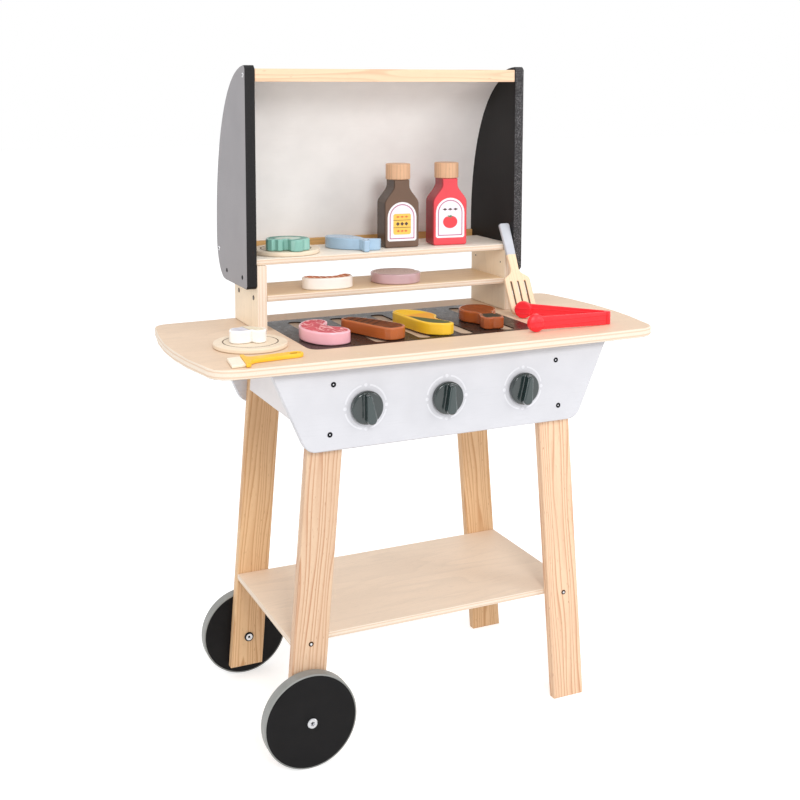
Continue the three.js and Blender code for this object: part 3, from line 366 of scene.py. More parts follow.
def lacquered(name, paint, specular=0.35, coat=0.35, flank_shade=1.0):
    """Smooth glossy paint with slow waves, and painted shade that darkens the flanks facing along
    X.
    """
    finish = Finish(name, roughness=0.22, specular=specular, coat=coat)
    speck = finish.step(finish.noise(0.002, 1), 0.6, 0.9)
    base = finish.mix(speck, finish.cloudy(paint, 0.94, 1.03, 0.03, 3), tone(paint, 0.88))
    finish.paint(finish.mix(finish.square_on("X", 0.45, 0.8), base, tone(paint, flank_shade)))
    return finish.relief(finish.noise(0.009, 1), 0.0001, 0.35)


def ringed(finish, light, dark, grain, spacing, at, turn):
    """Growth rings of sawn softwood: pale wood that darkens to a sharp line, and fibres."""
    def noise(long, across, *rest):
        return finish.noise(along(grain, long, across), *rest, where=(at, turn))

    first, second = (index for index, axis in enumerate("XYZ") if axis != grain)
    place = finish.parts(along(grain, 1.0, spacing), at, turn)
    count = finish.sum("MULTIPLY_ADD", place[second], 0.7, place[first])
    count = finish.sum("MULTIPLY_ADD", noise(0.26, 0.03, 1.5), 5.0, count)
    count = finish.sum("MULTIPLY_ADD", noise(3.0, 0.013, 0), 3.0, count)
    ring = ((0.0, 0), (0.42, 0.08), (0.66, 0.4), (0.84, 1), (0.93, 0.8), (1.0, 0))
    figure = finish.ramp(finish.sum("FRACT", count),
                         *((stop, blend_of(light, dark, share)) for stop, share in ring))
    fibre = noise(0.016, 0.00045, 2, 0.6)
    patch = finish.times(finish.step(noise(0.12, 0.016, 2), 0.4, 0.75), 0.6)
    streak = finish.times(finish.step(fibre, 0.5, 0.8), 0.55)
    fleck = finish.step(noise(0.009, 0.0011, 0), 0.76, 0.84)
    for share, paint in ((patch, blend_of(light, dark, 0.3)), (streak, dark),
                         (fleck, tone(dark, 0.8))):
        figure = finish.mix(share, figure, paint)
    return figure, fibre


def pine(name, paint, ring, grain, spacing, at, turn=(0, 0, 0)):
    """Clear-lacquered sawn pine."""
    finish = Finish(name, roughness=0.5, specular=0.35)
    figure, fibre = ringed(finish, paint, ring, grain, spacing, at, turn)
    return finish.paint(figure).relief(fibre, 0.00012, 0.5)


def veneer_of(finish, paint, grain, at):
    """Pale rotary-cut birch: cloudy figure, short flecks and very fine fibres."""
    def noise(long, across, *rest):
        return finish.noise(along(grain, long, across), *rest, where=(at,))

    waves = finish.sum("FRACT", finish.times(noise(0.32, 0.055, 2.5, 0.5, 0.6), 7.0))
    figure = finish.ramp(waves, *((stop, tone(paint, share)) for stop, share in (
        (0.0, 1.03), (0.55, 1), (0.88, 0.95), (1.0, 1.03))))
    fibre = noise(0.03, 0.0004, 2, 0.65)
    broad = finish.step(noise(0.2, 0.12, 1), 0.3, 0.75)
    fleck = finish.step(noise(0.008, 0.00065, 1), 0.6, 0.82)
    streak = finish.step(fibre, 0.48, 0.85)
    for share, darker in ((broad, 0.93), (fleck, 0.8), (streak, 0.88)):
        figure = finish.mix(share, figure, tone(paint, darker))
    return figure, fibre


def plywood(name, paint, ply, ply_dark, axis, low, high, lines, grain="X", sunk=1.0):
    """Veneer on a board's two faces, with painted shade on the floor of a recess, and its layers
    along the edges.
    """
    finish = Finish(name, roughness=0.5, specular=0.35)
    face, fibre = veneer_of(finish, paint, grain, (low, low, low))
    index = "XYZ".index(axis)
    start = tuple(low if i == index else 0 for i in range(3))
    depth = finish.parts((high - low) / (2 * lines), start)[index]
    wobble = finish.sum("SUBTRACT", finish.noise(0.05, 1), 0.5)
    layer = finish.sum("PINGPONG", finish.sum("MULTIPLY_ADD", wobble, 0.3, depth), 1.0)
    edge = finish.ramp(layer, *((stop, blend_of(ply, ply_dark, share)) for stop, share in (
        (0.0, 0), (0.5, 0.12), (0.72, 0.3), (0.86, 1), (1.0, 1))))
    end_grain = finish.step(finish.noise(0.0009), 0.5, 0.85)
    edge = finish.mix(end_grain, edge, blend_of(ply, ply_dark, 0.8))
    # Painted shade: a recess floor is painted darker by the sunk share.
    if sunk < 1:
        under = finish.step(depth, 2 * lines - 0.1, 2 * lines - 0.2)
        face = finish.mix(under, face, tone(paint, sunk))
    flat = finish.square_on(axis, 0.8, 0.9)
    finish.paint(finish.mix(flat, edge, face))
    return finish.relief(finish.mix(flat, layer, fibre), 0.00016, 0.5)


def metal(name, paint, roughness=0.3):
    """Plated steel with fine turning marks."""
    finish = Finish(name, roughness, metallic=1.0)
    finish.paint(finish.cloudy(paint, 0.86, 1, 0.0007, 3))
    marks = finish.noise(0.0007, 3)
    finish.polish(marks, roughness - 0.07, roughness + 0.1)
    return finish.relief(marks, 0.00005, 0.4)


def marked_steel(name, roughness, tones, mark, marked, at, reach):
    """Steel with a mark about a line along Y through a place, in units of reach."""
    finish = Finish(name, roughness, metallic=1.0)
    x, _, z = finish.parts(reach, at)
    away = finish.sum("SQRT", finish.squares(x, z))
    finish.paint(finish.mix(mark(finish, x, z, away), finish.cloudy(*tones, 0.0007, 3), marked))
    return finish.relief(finish.noise(0.0007, 3), 0.00005, 0.4)


def bolt_mark(finish, x, z, away):
    """A cross recess inside a round seat, painted dark: a painted shade."""
    cross = finish.sum("MINIMUM", finish.unsigned(x), finish.unsigned(z))
    return finish.times(finish.step(away, 1.05, 0.9), finish.step(cross, 0.42, 0.3))


def nut_mark(finish, x, z, away):
    """Painted shade: a dark rim round the nut and a dark middle."""
    return finish.sum("ADD", finish.step(away, 0.66, 0.76), finish.step(away, 0.3, 0.22))


def glint_mark(finish, x, z, away):
    """A round painted highlight in the middle of a dark head."""
    return finish.step(away, 1.08, 0.92)


def hood_paint(name, side, black, outside):
    """Grey outside, black inside, and edges where the board's layers print through."""
    finish = Finish(name, roughness=0.5, specular=0.2)
    outer = finish.step(finish.times(finish.facing("X"), side), 0.75, 0.9)
    flat = finish.square_on("X", 0.75, 0.9)
    grit = finish.noise((0.0011, 0.0016, 0.0016), 3, 0.7)
    # Speckled edges; the right side's edges are painted lighter and greyer than the left side's.
    edge_tone, edge_grey = (1.6, 0.7) if side > 0 else (0.9, 0.03)
    edge_speckle = finish.mix(finish.step(grit, 0.46, 0.72), tone(black, edge_tone),
                      blend_of(black, outside, edge_grey))
    inner = finish.cloudy(black, 0.9, 1.15, 0.05, 3)
    grey = finish.ramp(finish.noise(0.05, 3), (0.25, tone(outside, 0.95)),
                       (0.75, tone(outside, 1.05)))
    finish.paint(finish.mix(flat, edge_speckle, finish.mix(outer, inner, grey)))
    layers = finish.times(finish.noise((0.0014, 0.02, 0.02), 1), 1.3)
    fine = finish.noise((0.001, 0.0015, 0.02))
    return finish.relief(finish.mix(flat, finish.sum("ADD", layers, grit), fine), 0.00022, 0.5)


# Meshes
def level_ring(points, height):
    return [Vector((x, y, height)) for x, y in points]


def stacked(rings, bands=None, closed=False):
    """Faces between rings of equal counts, with end caps, or joined last to first."""
    count, last = len(rings[0]), len(rings) - 1
    bands = bands or [0] * len(rings)
    faces, marks = [], []
    for low in range(last + closed):
        high = (low + 1) % len(rings)
        for i in range(count):
            j = (i + 1) % count
            faces.append((low * count + i, low * count + j, high * count + j, high * count + i))
            marks.append(bands[low])
    if not closed:
        faces += [tuple(reversed(range(count))), tuple(range(last * count, (last + 1) * count))]
        marks += [bands[0], bands[-1]]
    return [corner for ring in rings for corner in ring], faces, marks


def circle(radius, steps):
    turns = (math.tau * i / steps for i in range(steps))
    return [(radius * math.cos(turn), radius * math.sin(turn)) for turn in turns]


def turned(profile, steps, bands=None, closed=False):
    """A turned shape about Z, from pairs of radius and height."""
    rings = [level_ring(circle(radius, steps), height) for radius, height in profile]
    return stacked(rings, bands, closed)


def joined(shapes):
    corners, faces, marks = [], [], []
    for more, sides, bands in shapes:
        start = len(corners)
        corners += more
        faces += [tuple(i + start for i in side) for side in sides]
        marks += bands
    return corners, faces, marks


def quarter(radius, height, steps=4):
    """Insets and heights round a quarter circle, from a wall up to a top."""
    turns = (math.pi / 2 * i / steps for i in range(steps + 1))
    return [(radius * (1 - math.cos(t)), height + radius * math.sin(t)) for t in turns]


def turned_edge(radius, thick, rounding):
    """Profile of a turned edge that is rounded below and above."""
    rim = [(radius - away, height) for away, height in quarter(rounding, thick - rounding)]
    return [(r, thick - height) for r, height in reversed(rim)] + rim


def smooth_faces(mesh, crease=CREASE):
    mesh.polygons.foreach_set("use_smooth", [True] * len(mesh.polygons))
    mesh.set_sharp_from_angle(angle=math.radians(crease))
    mesh.update()


def mesh_of(name, shape, placing, *finishes):
    corners, faces, marks = shape
    mesh = bpy.data.meshes.new(name)
    mesh.from_pydata([placing @ Vector(corner) for corner in corners], [], faces)
    mesh.polygons.foreach_set("material_index", marks)
    for finish in finishes:
        mesh.materials.append(finish.material)
    smooth_faces(mesh)
    return mesh


def loose(name, mesh):
    """A new object in the scene."""
    made = bpy.data.objects.new(name, mesh)
    bpy.context.scene.collection.objects.link(made)
    return made


def even_out(piece):
    piece.modifiers.new("Even", "WEIGHTED_NORMAL").keep_sharp = True


def show(name, mesh, body):
    piece = loose(name, mesh)
    even_out(piece)
    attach(piece, body)
    return piece


def stand_for(mesh, name):
    """Shows the mesh in place of the frame's node, on its body."""
    piece = show(name + "_form", mesh, node[name]["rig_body"])
    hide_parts(name)


def middle(name):
    low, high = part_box(name)
    return (low + high) / 2


def merged(name):
    """A copy of a node's mesh, its loose triangles joined."""
    shape = bmesh.new()
    shape.from_mesh(node[name].data)
    bmesh.ops.remove_doubles(shape, verts=shape.verts, dist=WELD)
    shape.normal_update()
    return shape


def outline_of(name, placing):
    """The outer outline of a slab, once round, and its two levels, in the given place."""
    shape = merged(name)
    shape.transform(placing.inverted())
    shape.normal_update()
    heights = [v.co.z for v in shape.verts]
    walls = [f for f in shape.faces if abs(f.normal.z) < 0.1]
    start_level = min(v.co.z for f in walls for v in f.verts)
    beside = {}
    for edge in {e for f in walls for e in f.edges}:
        a, b = edge.verts
        if max(abs(a.co.z - start_level), abs(b.co.z - start_level)) < 10 * WELD:
            beside.setdefault(a.index, []).append(b)
            beside.setdefault(b.index, []).append(a)
    shape.verts.ensure_lookup_table()
    first = min(beside)
    loop, last = [shape.verts[first]], None
    while True:
        ahead = [v for v in beside[loop[-1].index] if v is not last]
        last = loop[-1]
        if ahead[0].index == first:
            break
        loop.append(ahead[0])
    points = [Vector((v.co.x, v.co.y)) for v in loop]
    shape.free()
    if sum(p.x * q.y - q.x * p.y for p, q in zip(points, points[1:] + points[:1])) < 0:
        points.reverse()
    return points, (min(heights), max(heights))


def refined(points, parts=4, longest=14 * mm):
    """The outline with points added on smooth curves, and its corners kept."""
    count = len(points)
    runs = [points[(i + 1) % count] - points[i] for i in range(count)]
    turns = [math.degrees(abs(runs[i - 1].angle_signed(runs[i]))) for i in range(count)]

    def heading(i):
        before, after = runs[i - 1], runs[i % count]
        mixed = before.normalized() * after.length + after.normalized() * before.length
        return mixed / (before.length + after.length)

    found = []
    for i in range(count):
        j = (i + 1) % count
        a, b, run = points[i], points[j], runs[i].length
        found.append(a)
        if run >= longest or max(turns[i], turns[j]) >= CREASE:
            continue
        out, into = heading(i) * run / 3, heading(j) * run / 3
        found += interpolate_bezier(a, a + out, b - into, b, parts + 1)[1:-1]
    return found


def inset(points, distance):
    """The outline moved inwards; corners keep their mitre."""
    moved = []
    for last, point, ahead in zip(points[-1:] + points, points, points[1:] + points[:1]):
        before, after = (point - last).normalized(), (ahead - point).normalized()
        side = Vector((before.y + after.y, -before.x - after.x)).normalized()
        mitre = max(0.5, side.dot(Vector((after.y, -after.x))))
        moved.append(point - side * distance / mitre)
    return moved


def soft_slab(points, low, high, rounding, rim=0.0):
    """A slab with rounded edges; its top inside the rim takes the second finish."""
    curve = quarter(rounding, 0)
    levels = [(away, low + rounding - height) for away, height in reversed(curve)]
    levels += [(away, high - rounding + height) for away, height in curve]
    bands = [0] * (len(levels) - 1)
    if rim:
        levels += [(rim, high), (rim + 0.1 * mm, high - 0.02 * mm)]
        bands += [0, 1]
    return stacked([level_ring(inset(points, away), height) for away, height in levels], bands)


# Geometry node trees
class Tree(Nodes):
    """A tree of geometry nodes with named inputs, grown on points into a plain mesh."""

    family = "GeometryNode"

    def __init__(self, name, **inputs):
        super().__init__(bpy.data.node_groups.new(name, "GeometryNodeTree"))
        self.keys = {}
        new_socket = self.tree.interface.new_socket
        for label, kind in inputs.items():
            socket = new_socket(name=label, in_out="INPUT", socket_type="NodeSocket" + kind)
            self.keys[label] = socket.identifier
        new_socket(name="Shape", in_out="OUTPUT", socket_type="NodeSocketGeometry")
        self.enter = self.tree.nodes.new("NodeGroupInput")
        self.leave = self.tree.nodes.new("NodeGroupOutput")

    def __getitem__(self, label):
        return self.enter.outputs[label]

    def end(self, geometry):
        self.put(self.leave.inputs[0], geometry)
        return self

    def grow(self, name, places, values, slot):
        """The tree's result on places with their aims, as a piece that rides on the frame."""
        mesh = bpy.data.meshes.new(name + " points")
        mesh.from_pydata([place for place, _ in places], [], [])
        aims = mesh.attributes.new("aim", "FLOAT_VECTOR", "POINT")
        aims.data.foreach_set("vector", [part for _, aim in places for part in aim])
        carrier = loose(name + " carrier", mesh)
        modifier = carrier.modifiers.new(self.tree.name, "NODES")
        modifier.node_group = self.tree
        for label, value in values.items():
            modifier[self.keys[label]] = value
        made = final_mesh(carrier, name)
        for attribute in list(made.attributes):
            if attribute.name in ("aim", "sunk"):
                made.attributes.remove(attribute)
        smooth_faces(made)
        show(name, made, BODY)


def final_mesh(source, name):
    """The object's mesh after its modifiers; the object itself is removed."""
    graph = bpy.context.evaluated_depsgraph_get()
    made = bpy.data.meshes.new_from_object(source.evaluated_get(graph))
    made.name = name
    bpy.data.objects.remove(source)
    return made


def heads_tree():
    """Copies of one head on points, each aimed along its point's own direction."""
    tree = Tree("Heads on points", Points="Geometry", Head="Object", Size="Float",
                Finish="Material", Recess="Material")
    aim = tree.make("InputNamedAttribute", {"Name": "aim"}, data_type="FLOAT_VECTOR")
    copies = tree.make("InstanceOnPoints", {
        "Points": tree["Points"], "Scale": tree["Size"],
        "Instance": tree.make("ObjectInfo", {"Object": tree["Head"]}, "Geometry"),
        "Rotation": tree.make("FunctionNodeAlignRotationToVector", {"Vector": aim}, axis="Z")})
    real = tree.make("RealizeInstances", {"Geometry": copies})
    shell = tree.make("SetMaterial", {"Geometry": real, "Material": tree["Finish"]})
    sunk = tree.make("InputNamedAttribute", {"Name": "sunk"}, data_type="BOOLEAN")
    return tree.end(tree.make("SetMaterial", {
        "Geometry": shell, "Material": tree["Recess"], "Selection": sunk}))


def dials_tree():
    """Four arcs and four dots round each point, standing on a face that looks to the front."""
    gap, sweep = math.radians(12), math.radians(66)
    tree = Tree("Dial marks", Points="Geometry", Radius="Float", Line="Float", Dot="Float",
                Height="Float", Finish="Material")
    arc = tree.make("CurveArc", {"Resolution": 20, "Radius": tree["Radius"],
                                 "Start Angle": gap, "Sweep Angle": sweep})
    section = tree.make("CurvePrimitiveQuadrilateral", {
        "Width": tree["Line"], "Height": tree["Height"]})
    strip = tree.make("CurveToMesh", {
        "Curve": arc, "Profile Curve": section, "Fill Caps": True})
    dot = tree.make("MeshCylinder", {
        "Vertices": 20, "Radius": tree["Dot"], "Depth": tree["Height"]})
    moved = tree.make("Transform", {
        "Geometry": dot,
        "Translation": tree.make("ShaderNodeCombineXYZ", {"X": tree["Radius"]})})
    marks = tree.make("JoinGeometry")
    for piece in (moved, strip):
        tree.put(marks.node.inputs[0], piece)
    spin = tree.make("ShaderNodeMath", {0: tree.make("InputIndex"), 1: math.pi / 2},
                     operation="MULTIPLY")
    ring = tree.make("InstanceOnPoints", {
        "Points": tree.make("Points", {"Count": 4}), "Instance": marks,
        "Rotation": tree.make("ShaderNodeCombineXYZ", {"Z": spin})})
    stood = tree.make("InstanceOnPoints", {
        "Points": tree["Points"], "Instance": ring, "Rotation": (math.pi / 2, 0, 0)})
    real = tree.make("RealizeInstances", {"Geometry": stood})
    return tree.end(tree.make("SetMaterial", {"Geometry": real, "Material": tree["Finish"]}))


def soft_edges_tree():
    """Joins the loose corners of a frame node and smooths all but its creases."""
    tree = Tree("Soft edges", Solid="Geometry", Crease="Float")
    bare = tree.make("RemoveAttribute", {"Geometry": tree["Solid"], "Name": "custom_normal"})
    whole = tree.make("MergeByDistance", {"Geometry": bare, "Distance": WELD})
    smooth = tree.make("SetShadeSmooth", {"Geometry": whole}, domain="FACE")
    bend = tree.make("InputMeshEdgeAngle", output="Unsigned Angle")
    sharp = tree.make("FunctionNodeCompare", {0: bend, 1: tree["Crease"]},
                      data_type="FLOAT", operation="GREATER_THAN")
    return tree.end(tree.make("SetShadeSmooth", {
        "Geometry": smooth, "Selection": sharp, "Shade Smooth": False}, domain="EDGE"))


def turn_upright(name, rounding, steps, *finishes, cuts=()):
    """Stands a turned shape for a round node; cuts are radii and depths of a groove on top."""
    low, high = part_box(name)
    at, thick = ((low.x + high.x) / 2, (low.y + high.y) / 2, low.z), high.z - low.z
    edge = turned_edge((high.x - low.x) / 2, thick, rounding)
    groove = [(radius, thick - depth) for radius, depth in cuts]
    bands = [0] * len(edge) + [1] * (len(groove) - 1)
    corners, faces, marks = turned(edge + groove, steps, bands)
    marks[-1] = 0  # the flat top inside the groove is bare again
    shape = corners, faces, marks
    stand_for(mesh_of(name, shape, Matrix.Translation(at), *finishes), name)


def dress(finish, *names, crease=50):
    """Gives nodes of the frame their finish, and smooths all but their creases."""
    group = bpy.data.node_groups.get("Soft edges") or soft_edges_tree().tree
    key = group.interface.items_tree["Crease"].identifier
    for name in names:
        node[name].material_slots[0].material = finish.material
        modifier = node[name].modifiers.new("Soft edges", "NODES")
        modifier.node_group = group
        modifier[key] = math.radians(crease)
        even_out(node[name])


def moulded(name, voxel, passes, finish):
    """A node's solid, remeshed on a fine grid and relaxed so that its edges are moulded."""
    source = loose(name + " source", node[name].data.copy())
    source.modifiers.new("Weld", "WELD").merge_threshold = WELD
    grid = source.modifiers.new("Grid", "REMESH")
    grid.mode, grid.voxel_size, grid.use_smooth_shade = "VOXEL", voxel, True
    relax = source.modifiers.new("Relax", "SMOOTH")
    relax.factor, relax.iterations = 0.5, passes
    made = final_mesh(source, name + "_form")
    smooth_faces(made, crease=70)
    made.materials.clear()
    made.materials.append(finish.material)
    stand_for(made, name)


def pattern(name, shape):
    """An object that a tree copies; its faces of the second finish are sunk."""
    corners, faces, marks = shape
    mesh = bpy.data.meshes.new(name)
    mesh.from_pydata(corners, [], faces)
    sunk = mesh.attributes.new("sunk", "BOOLEAN", "FACE")
    sunk.data.foreach_set("value", [mark == 1 for mark in marks])
    return loose(name, mesh)


def screw_head(socket=0.42, sides=24):
    """A unit head on Z: flat dome with a hexagon socket, whose floor takes the recess finish."""
    def hexagon(i):
        turn = math.tau * i / sides
        corner = (turn + math.pi / 6) % (math.pi / 3) - math.pi / 6
        return (socket / math.cos(corner) * math.cos(turn),
                socket / math.cos(corner) * math.sin(turn))

    hole = [hexagon(i) for i in range(sides)]
    dome = ((1.0, -0.3), (1.0, 0.02), (0.93, 0.14), (0.68, 0.2))
    rings = [level_ring(circle(radius, sides), height) for radius, height in dome]
    rings += [level_ring(hole, height) for height in (0.2, 0.04)]
    return pattern("screw head", stacked(rings, [0, 0, 0, 0, 1]))


# Operators, one for each piece or group of like pieces
class GrillStep(bpy.types.Operator):
    """Builds or finishes some of the toy's pieces."""

    bl_options = {"REGISTER", "UNDO"}

    def execute(self, context):
        settings = context.scene.toy_grill
        self.build(settings.colours, settings.sizes)
        return {"FINISHED"}


class TOYGRILL_OT_boards(GrillStep):
    """Finishes the plywood tabletop, shelves and posts."""

    bl_idname = "toy_grill.boards"
    bl_label = "Plywood boards"

    def build(self, colours, sizes):
        ply, dark = colours.ply, colours.ply_dark
        # The tabletop's recess floor takes painted shade at 0.7.
        for name, paint, sunk in (
            ("tabletop", colours.veneer, 0.7), ("upper_shelf", colours.top_shelf, 1),
            ("mid_shelf", colours.mid_shelf, 1), ("lower_shelf", colours.shelf, 1),
        ):
            low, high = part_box(name)
            dress(plywood(f"{name} birch", paint, ply, dark, "Z", low.z, high.z, lines=2,
                          sunk=sunk), name)
        for name in ("left_post", "right_post"):
            low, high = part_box(name)
            dress(plywood(f"{name} birch", colours.post, ply, blend_of(ply, dark, 0.6),
                          "X", low.x, high.x, lines=3, grain="Z"), name)


class TOYGRILL_OT_legs(GrillStep):
    """Finishes the four pine legs, each with its own grain."""

    bl_idname = "toy_grill.legs"
    bl_label = "Legs"

    def build(self, colours, sizes):
        front = colours.pine, colours.pine_ring
        # The front left leg's pine is painted 0.84 as dark as the front right's: a painted shade.
        shaded = tone(colours.pine, 0.84), tone(colours.pine_ring, 0.84)
        rear = colours.rear_pine, colours.rear_ring
        for name, side, spacing, (wood, ring) in (
            ("front_left_leg", 1, 6.2, shaded), ("front_right_leg", -1, 6.6, front),
            ("rear_left_leg", 1, 5.0, rear), ("rear_right_leg", -1, 5.6, rear),
        ):
            low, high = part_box(name)
            far_down = low.z - spacing  # metres away, so that no two legs share their rings
            dress(pine(f"{name} pine", wood, ring, "Z", spacing * mm,
                       (low.x, high.y, far_down), (0, side * sizes.leg_lean, 0)), name)


class TOYGRILL_OT_panels(GrillStep):
    """Paints the two panels and the two side boards."""

    bl_idname = "toy_grill.panels"
    bl_label = "Painted panels"

    def build(self, colours, sizes):
        dress(painted("Panel paint", colours.panel, roughness=0.4), "front_panel", "rear_panel")
        dress(painted("Side board paint", colours.side_board, roughness=0.42, grain="Y"),
              "left_side_board", "right_side_board")


class TOYGRILL_OT_plate(GrillStep):
    """Opens the slots of the grill plate a little more, and paints it."""

    bl_idname = "toy_grill.plate"
    bl_label = "Grill plate"

    def build(self, colours, sizes):
        satin = painted("Grill plate paint", colours.plate, roughness=0.3, specular=0.15,
                        relief=0.0002)
        mesh = bpy.data.meshes.new("grill_plate_form")
        shape = self.widened("grill_plate", sizes.slot_width)
        shape.to_mesh(mesh)
        shape.free()
        smooth_faces(mesh, crease=40)
        mesh.materials.append(satin.material)
        stand_for(mesh, "grill_plate")

    def widened(self, name, wide):
        """The slotted plate with each slot as wide as asked, and its two faces filled anew."""
        margin, reach = 8 * mm, 20 * mm
        shape = merged(name)
        flats = [face for face in shape.faces if abs(face.normal.z) > 0.9]
        bmesh.ops.delete(shape, geom=flats, context="FACES")
        low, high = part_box(name)
        inner = [v.co for v in shape.verts if low.x + margin < v.co.x < high.x - margin
                 and low.y + margin < v.co.y < high.y - margin]
        moves = []
        for place in inner:
            slot = [other.x for other in inner if abs(other.x - place.x) < reach]
            centre, half = (min(slot) + max(slot)) / 2, (max(slot) - min(slot)) / 2
            moves.append(centre + (place.x - centre) * wide / 2 / half)
        for place, x in zip(inner, moves):
            place.x = x
        for level in (low.z, high.z):
            rims = [edge for edge in shape.edges
                    if all(abs(v.co.z - level) < 10 * WELD for v in edge.verts)]
            bmesh.ops.triangle_fill(shape, use_beauty=True, edges=rims)
        bmesh.ops.recalc_face_normals(shape, faces=shape.faces)
        return shape


class TOYGRILL_OT_wheels(GrillStep):
    """Turns the two wheels and their tyres, and finishes the axle bolts."""

    bl_idname = "toy_grill.wheels"
    bl_label = "Wheels"

    def build(self, colours, sizes):
        bore, play, steps = 3.3 * mm, 0.25 * mm, 96
        black = Finish("Wheel paint", roughness=0.4, specular=0.12)
        black.paint(black.cloudy(colours.black, 0.6, 0.8, 0.03, 3))
        black.relief(black.noise((0.02, 0.02, 0.0016)), 0.0002, 0.5)
        rubber = Finish("Tyre rubber", roughness=0.4, specular=0.6)
        rubber.paint(rubber.ramp(rubber.noise(0.012), (0.3, tone(colours.tyre, 0.93)),
                                 (0.75, tone(colours.tyre, 1.08))))
        rubber.relief(rubber.noise(0.0008, 3, 0.6), 0.00015, 0.6)
        wheels = "front_wheel", "rear_wheel"
        for wheel in wheels:
            hole = bore
            for piece, rounding, finish in (("disc", 1.3, black), ("tyre", 1.4, rubber)):
                low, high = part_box(f"{wheel}_{piece}")
                radius, thick = (high.z - low.z) / 2, high.y - low.y
                at = (low.x + high.x) / 2, low.y, (low.z + high.z) / 2
                placing = Matrix.Translation(at) @ Matrix.Rotation(-math.pi / 2, 4, "X")
                profile = [(hole, 0.0), *turned_edge(radius, thick, rounding * mm),
                           (hole, thick), (hole, thick / 2)]
                shape = turned(profile, steps, closed=True)
                stand_for(mesh_of(f"{wheel}_{piece}", shape, placing, finish),
                          f"{wheel}_{piece}")
                hole = radius + play
        low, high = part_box("rear_wheel_nut")
        bolt = marked_steel("Axle bolt zinc", 0.26, (colours.zinc, 0.55, 0.9), bolt_mark,
                            colours.black_steel, middle("front_wheel_bolt"), 2.3 * mm)
        nut = marked_steel("Axle nut zinc", 0.3, (colours.zinc, 0.75, 1.05), nut_mark,
                           tone(colours.black_steel, 0.6), (low + high) / 2,
                           (high.z - low.z) / 2)
        plain = metal("Zinc plate", colours.zinc)
        for piece, finish in (("bolt", bolt), ("washer", plain), ("nut", nut)):
            dress(finish, *(f"{wheel}_{piece}" for wheel in wheels), crease=35)
        dress(plain, "left_knob_screw", "middle_knob_screw", "right_knob_screw", crease=35)


class TOYGRILL_OT_knobs(GrillStep):
    """Moulds the three knobs and prints the ring of marks round each."""

    bl_idname = "toy_grill.knobs"
    bl_label = "Knobs and dial marks"

    def build(self, colours, sizes):
        height, forward = 0.24 * mm, 0.06 * mm
        gloss = Finish("Knob plastic", roughness=0.16, specular=0.5, coat=0.7)
        low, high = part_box("middle_knob")
        depth = gloss.parts(high.y - low.y, (0, high.y, 0))[1]
        base = gloss.cloudy(colours.knob, 0.88, 1.1, 0.012)
        # The grip's front, furthest out from the disc, is painted 1.6 times lighter: a painted
        # highlight.
        gloss.paint(gloss.mix(gloss.step(depth, -0.6, -0.97), base, tone(colours.knob, 1.6)))
        gloss.relief(gloss.noise(0.004), 0.0001, 0.35)
        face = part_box("front_panel")[0].y - forward
        places = []
        for name in ("left_knob", "middle_knob", "right_knob"):
            moulded(name, sizes.knob_voxel, passes=14, finish=gloss)
            at = middle(name + "_screw")
            places.append(((at.x, face, at.z), (0, -1, 0)))
        print_paint = painted("Dial print", colours.dial, roughness=0.45)
        values = {"Radius": sizes.dial_radius, "Line": sizes.dial_line, "Dot": sizes.dial_dot,
                  "Height": height, "Finish": print_paint.material}
        dials_tree().grow("dial_marks", places, values, "panel_paint")


class TOYGRILL_OT_hood(GrillStep):
    """Paints the hood's sides and sheet, and finishes its bar and rail."""

    bl_idname = "toy_grill.hood"
    bl_label = "Hood"

    def build(self, colours, sizes):
        for name, side in (("hood_left_side", -1), ("hood_right_side", 1)):
            dress(hood_paint(f"{name} paint", side, colours.black, colours.hood_outside), name)
        white = painted("Hood sheet paint", colours.sheet, roughness=0.5, specular=0.35,
                        streak=0.99)
        dress(white, "hood_back_sheet", crease=40)
        bar_ring = blend_of(colours.pine, colours.pine_ring, 0.5)
        for name, label, paint, ring, spacing in (
            ("hood_top_bar", "Hood bar pine", colours.pine, bar_ring, 7.5),
            ("hood_rear_rail", "Rear rail wood", colours.rail, tone(colours.rail, 0.78), 4),
        ):
            dress(pine(label, paint, ring, "X", spacing * mm, tuple(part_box(name)[0])), name)


class TOYGRILL_OT_dishes(GrillStep):
    """Turns the two round dishes with their burnt groove."""

    bl_idname = "toy_grill.dishes"
    bl_label = "Dishes"

    def build(self, colours, sizes):
        groove, half, deep, rounding, steps = 34.5 * mm, 0.75 * mm, 0.9 * mm, 1.8 * mm, 96
        cuts = ((groove + half, 0), (groove + half / 2, deep), (groove - half / 2, deep),
                (groove - half, 0))
        burnt = painted("Burnt groove", colours.groove, roughness=0.6)
        for name, grain, seed in (("table_dish", "X", 0.3), ("shelf_dish", "Y", 0.7)):
            wood = Finish(f"{name} wood", roughness=0.5, specular=0.35)
            figure, fibre = veneer_of(wood, colours.dish, grain, (seed, seed, 0))
            wood.paint(figure).relief(fibre, 0.00012, 0.5)
            turn_upright(name, rounding, steps, wood, burnt, cuts=cuts)


# Outlines of the bottles and their labels
def shouldered(points, low, high, steps=9):
    """A bottle's outline, its shoulders drawn as one easy slope between two heights."""
    half = max(point.x for point in points)
    neck = max(point.x for point in points if point.y > high)
    slope = [Vector((half + (neck - half) * t * t * (3 - 2 * t), low + (high - low) * t))
             for t in (i / steps for i in range(steps + 1))]
    kept = [point for point in points if not low <= point.y <= high]
    found = []
    for point, ahead in zip(kept, kept[1:] + kept[:1]):
        found.append(point)
        if point.y < low and ahead.y > high:
            found += slope
        elif point.y > high and ahead.y < low:
            found += [Vector((-corner.x, corner.y)) for corner in reversed(slope)]
    return found


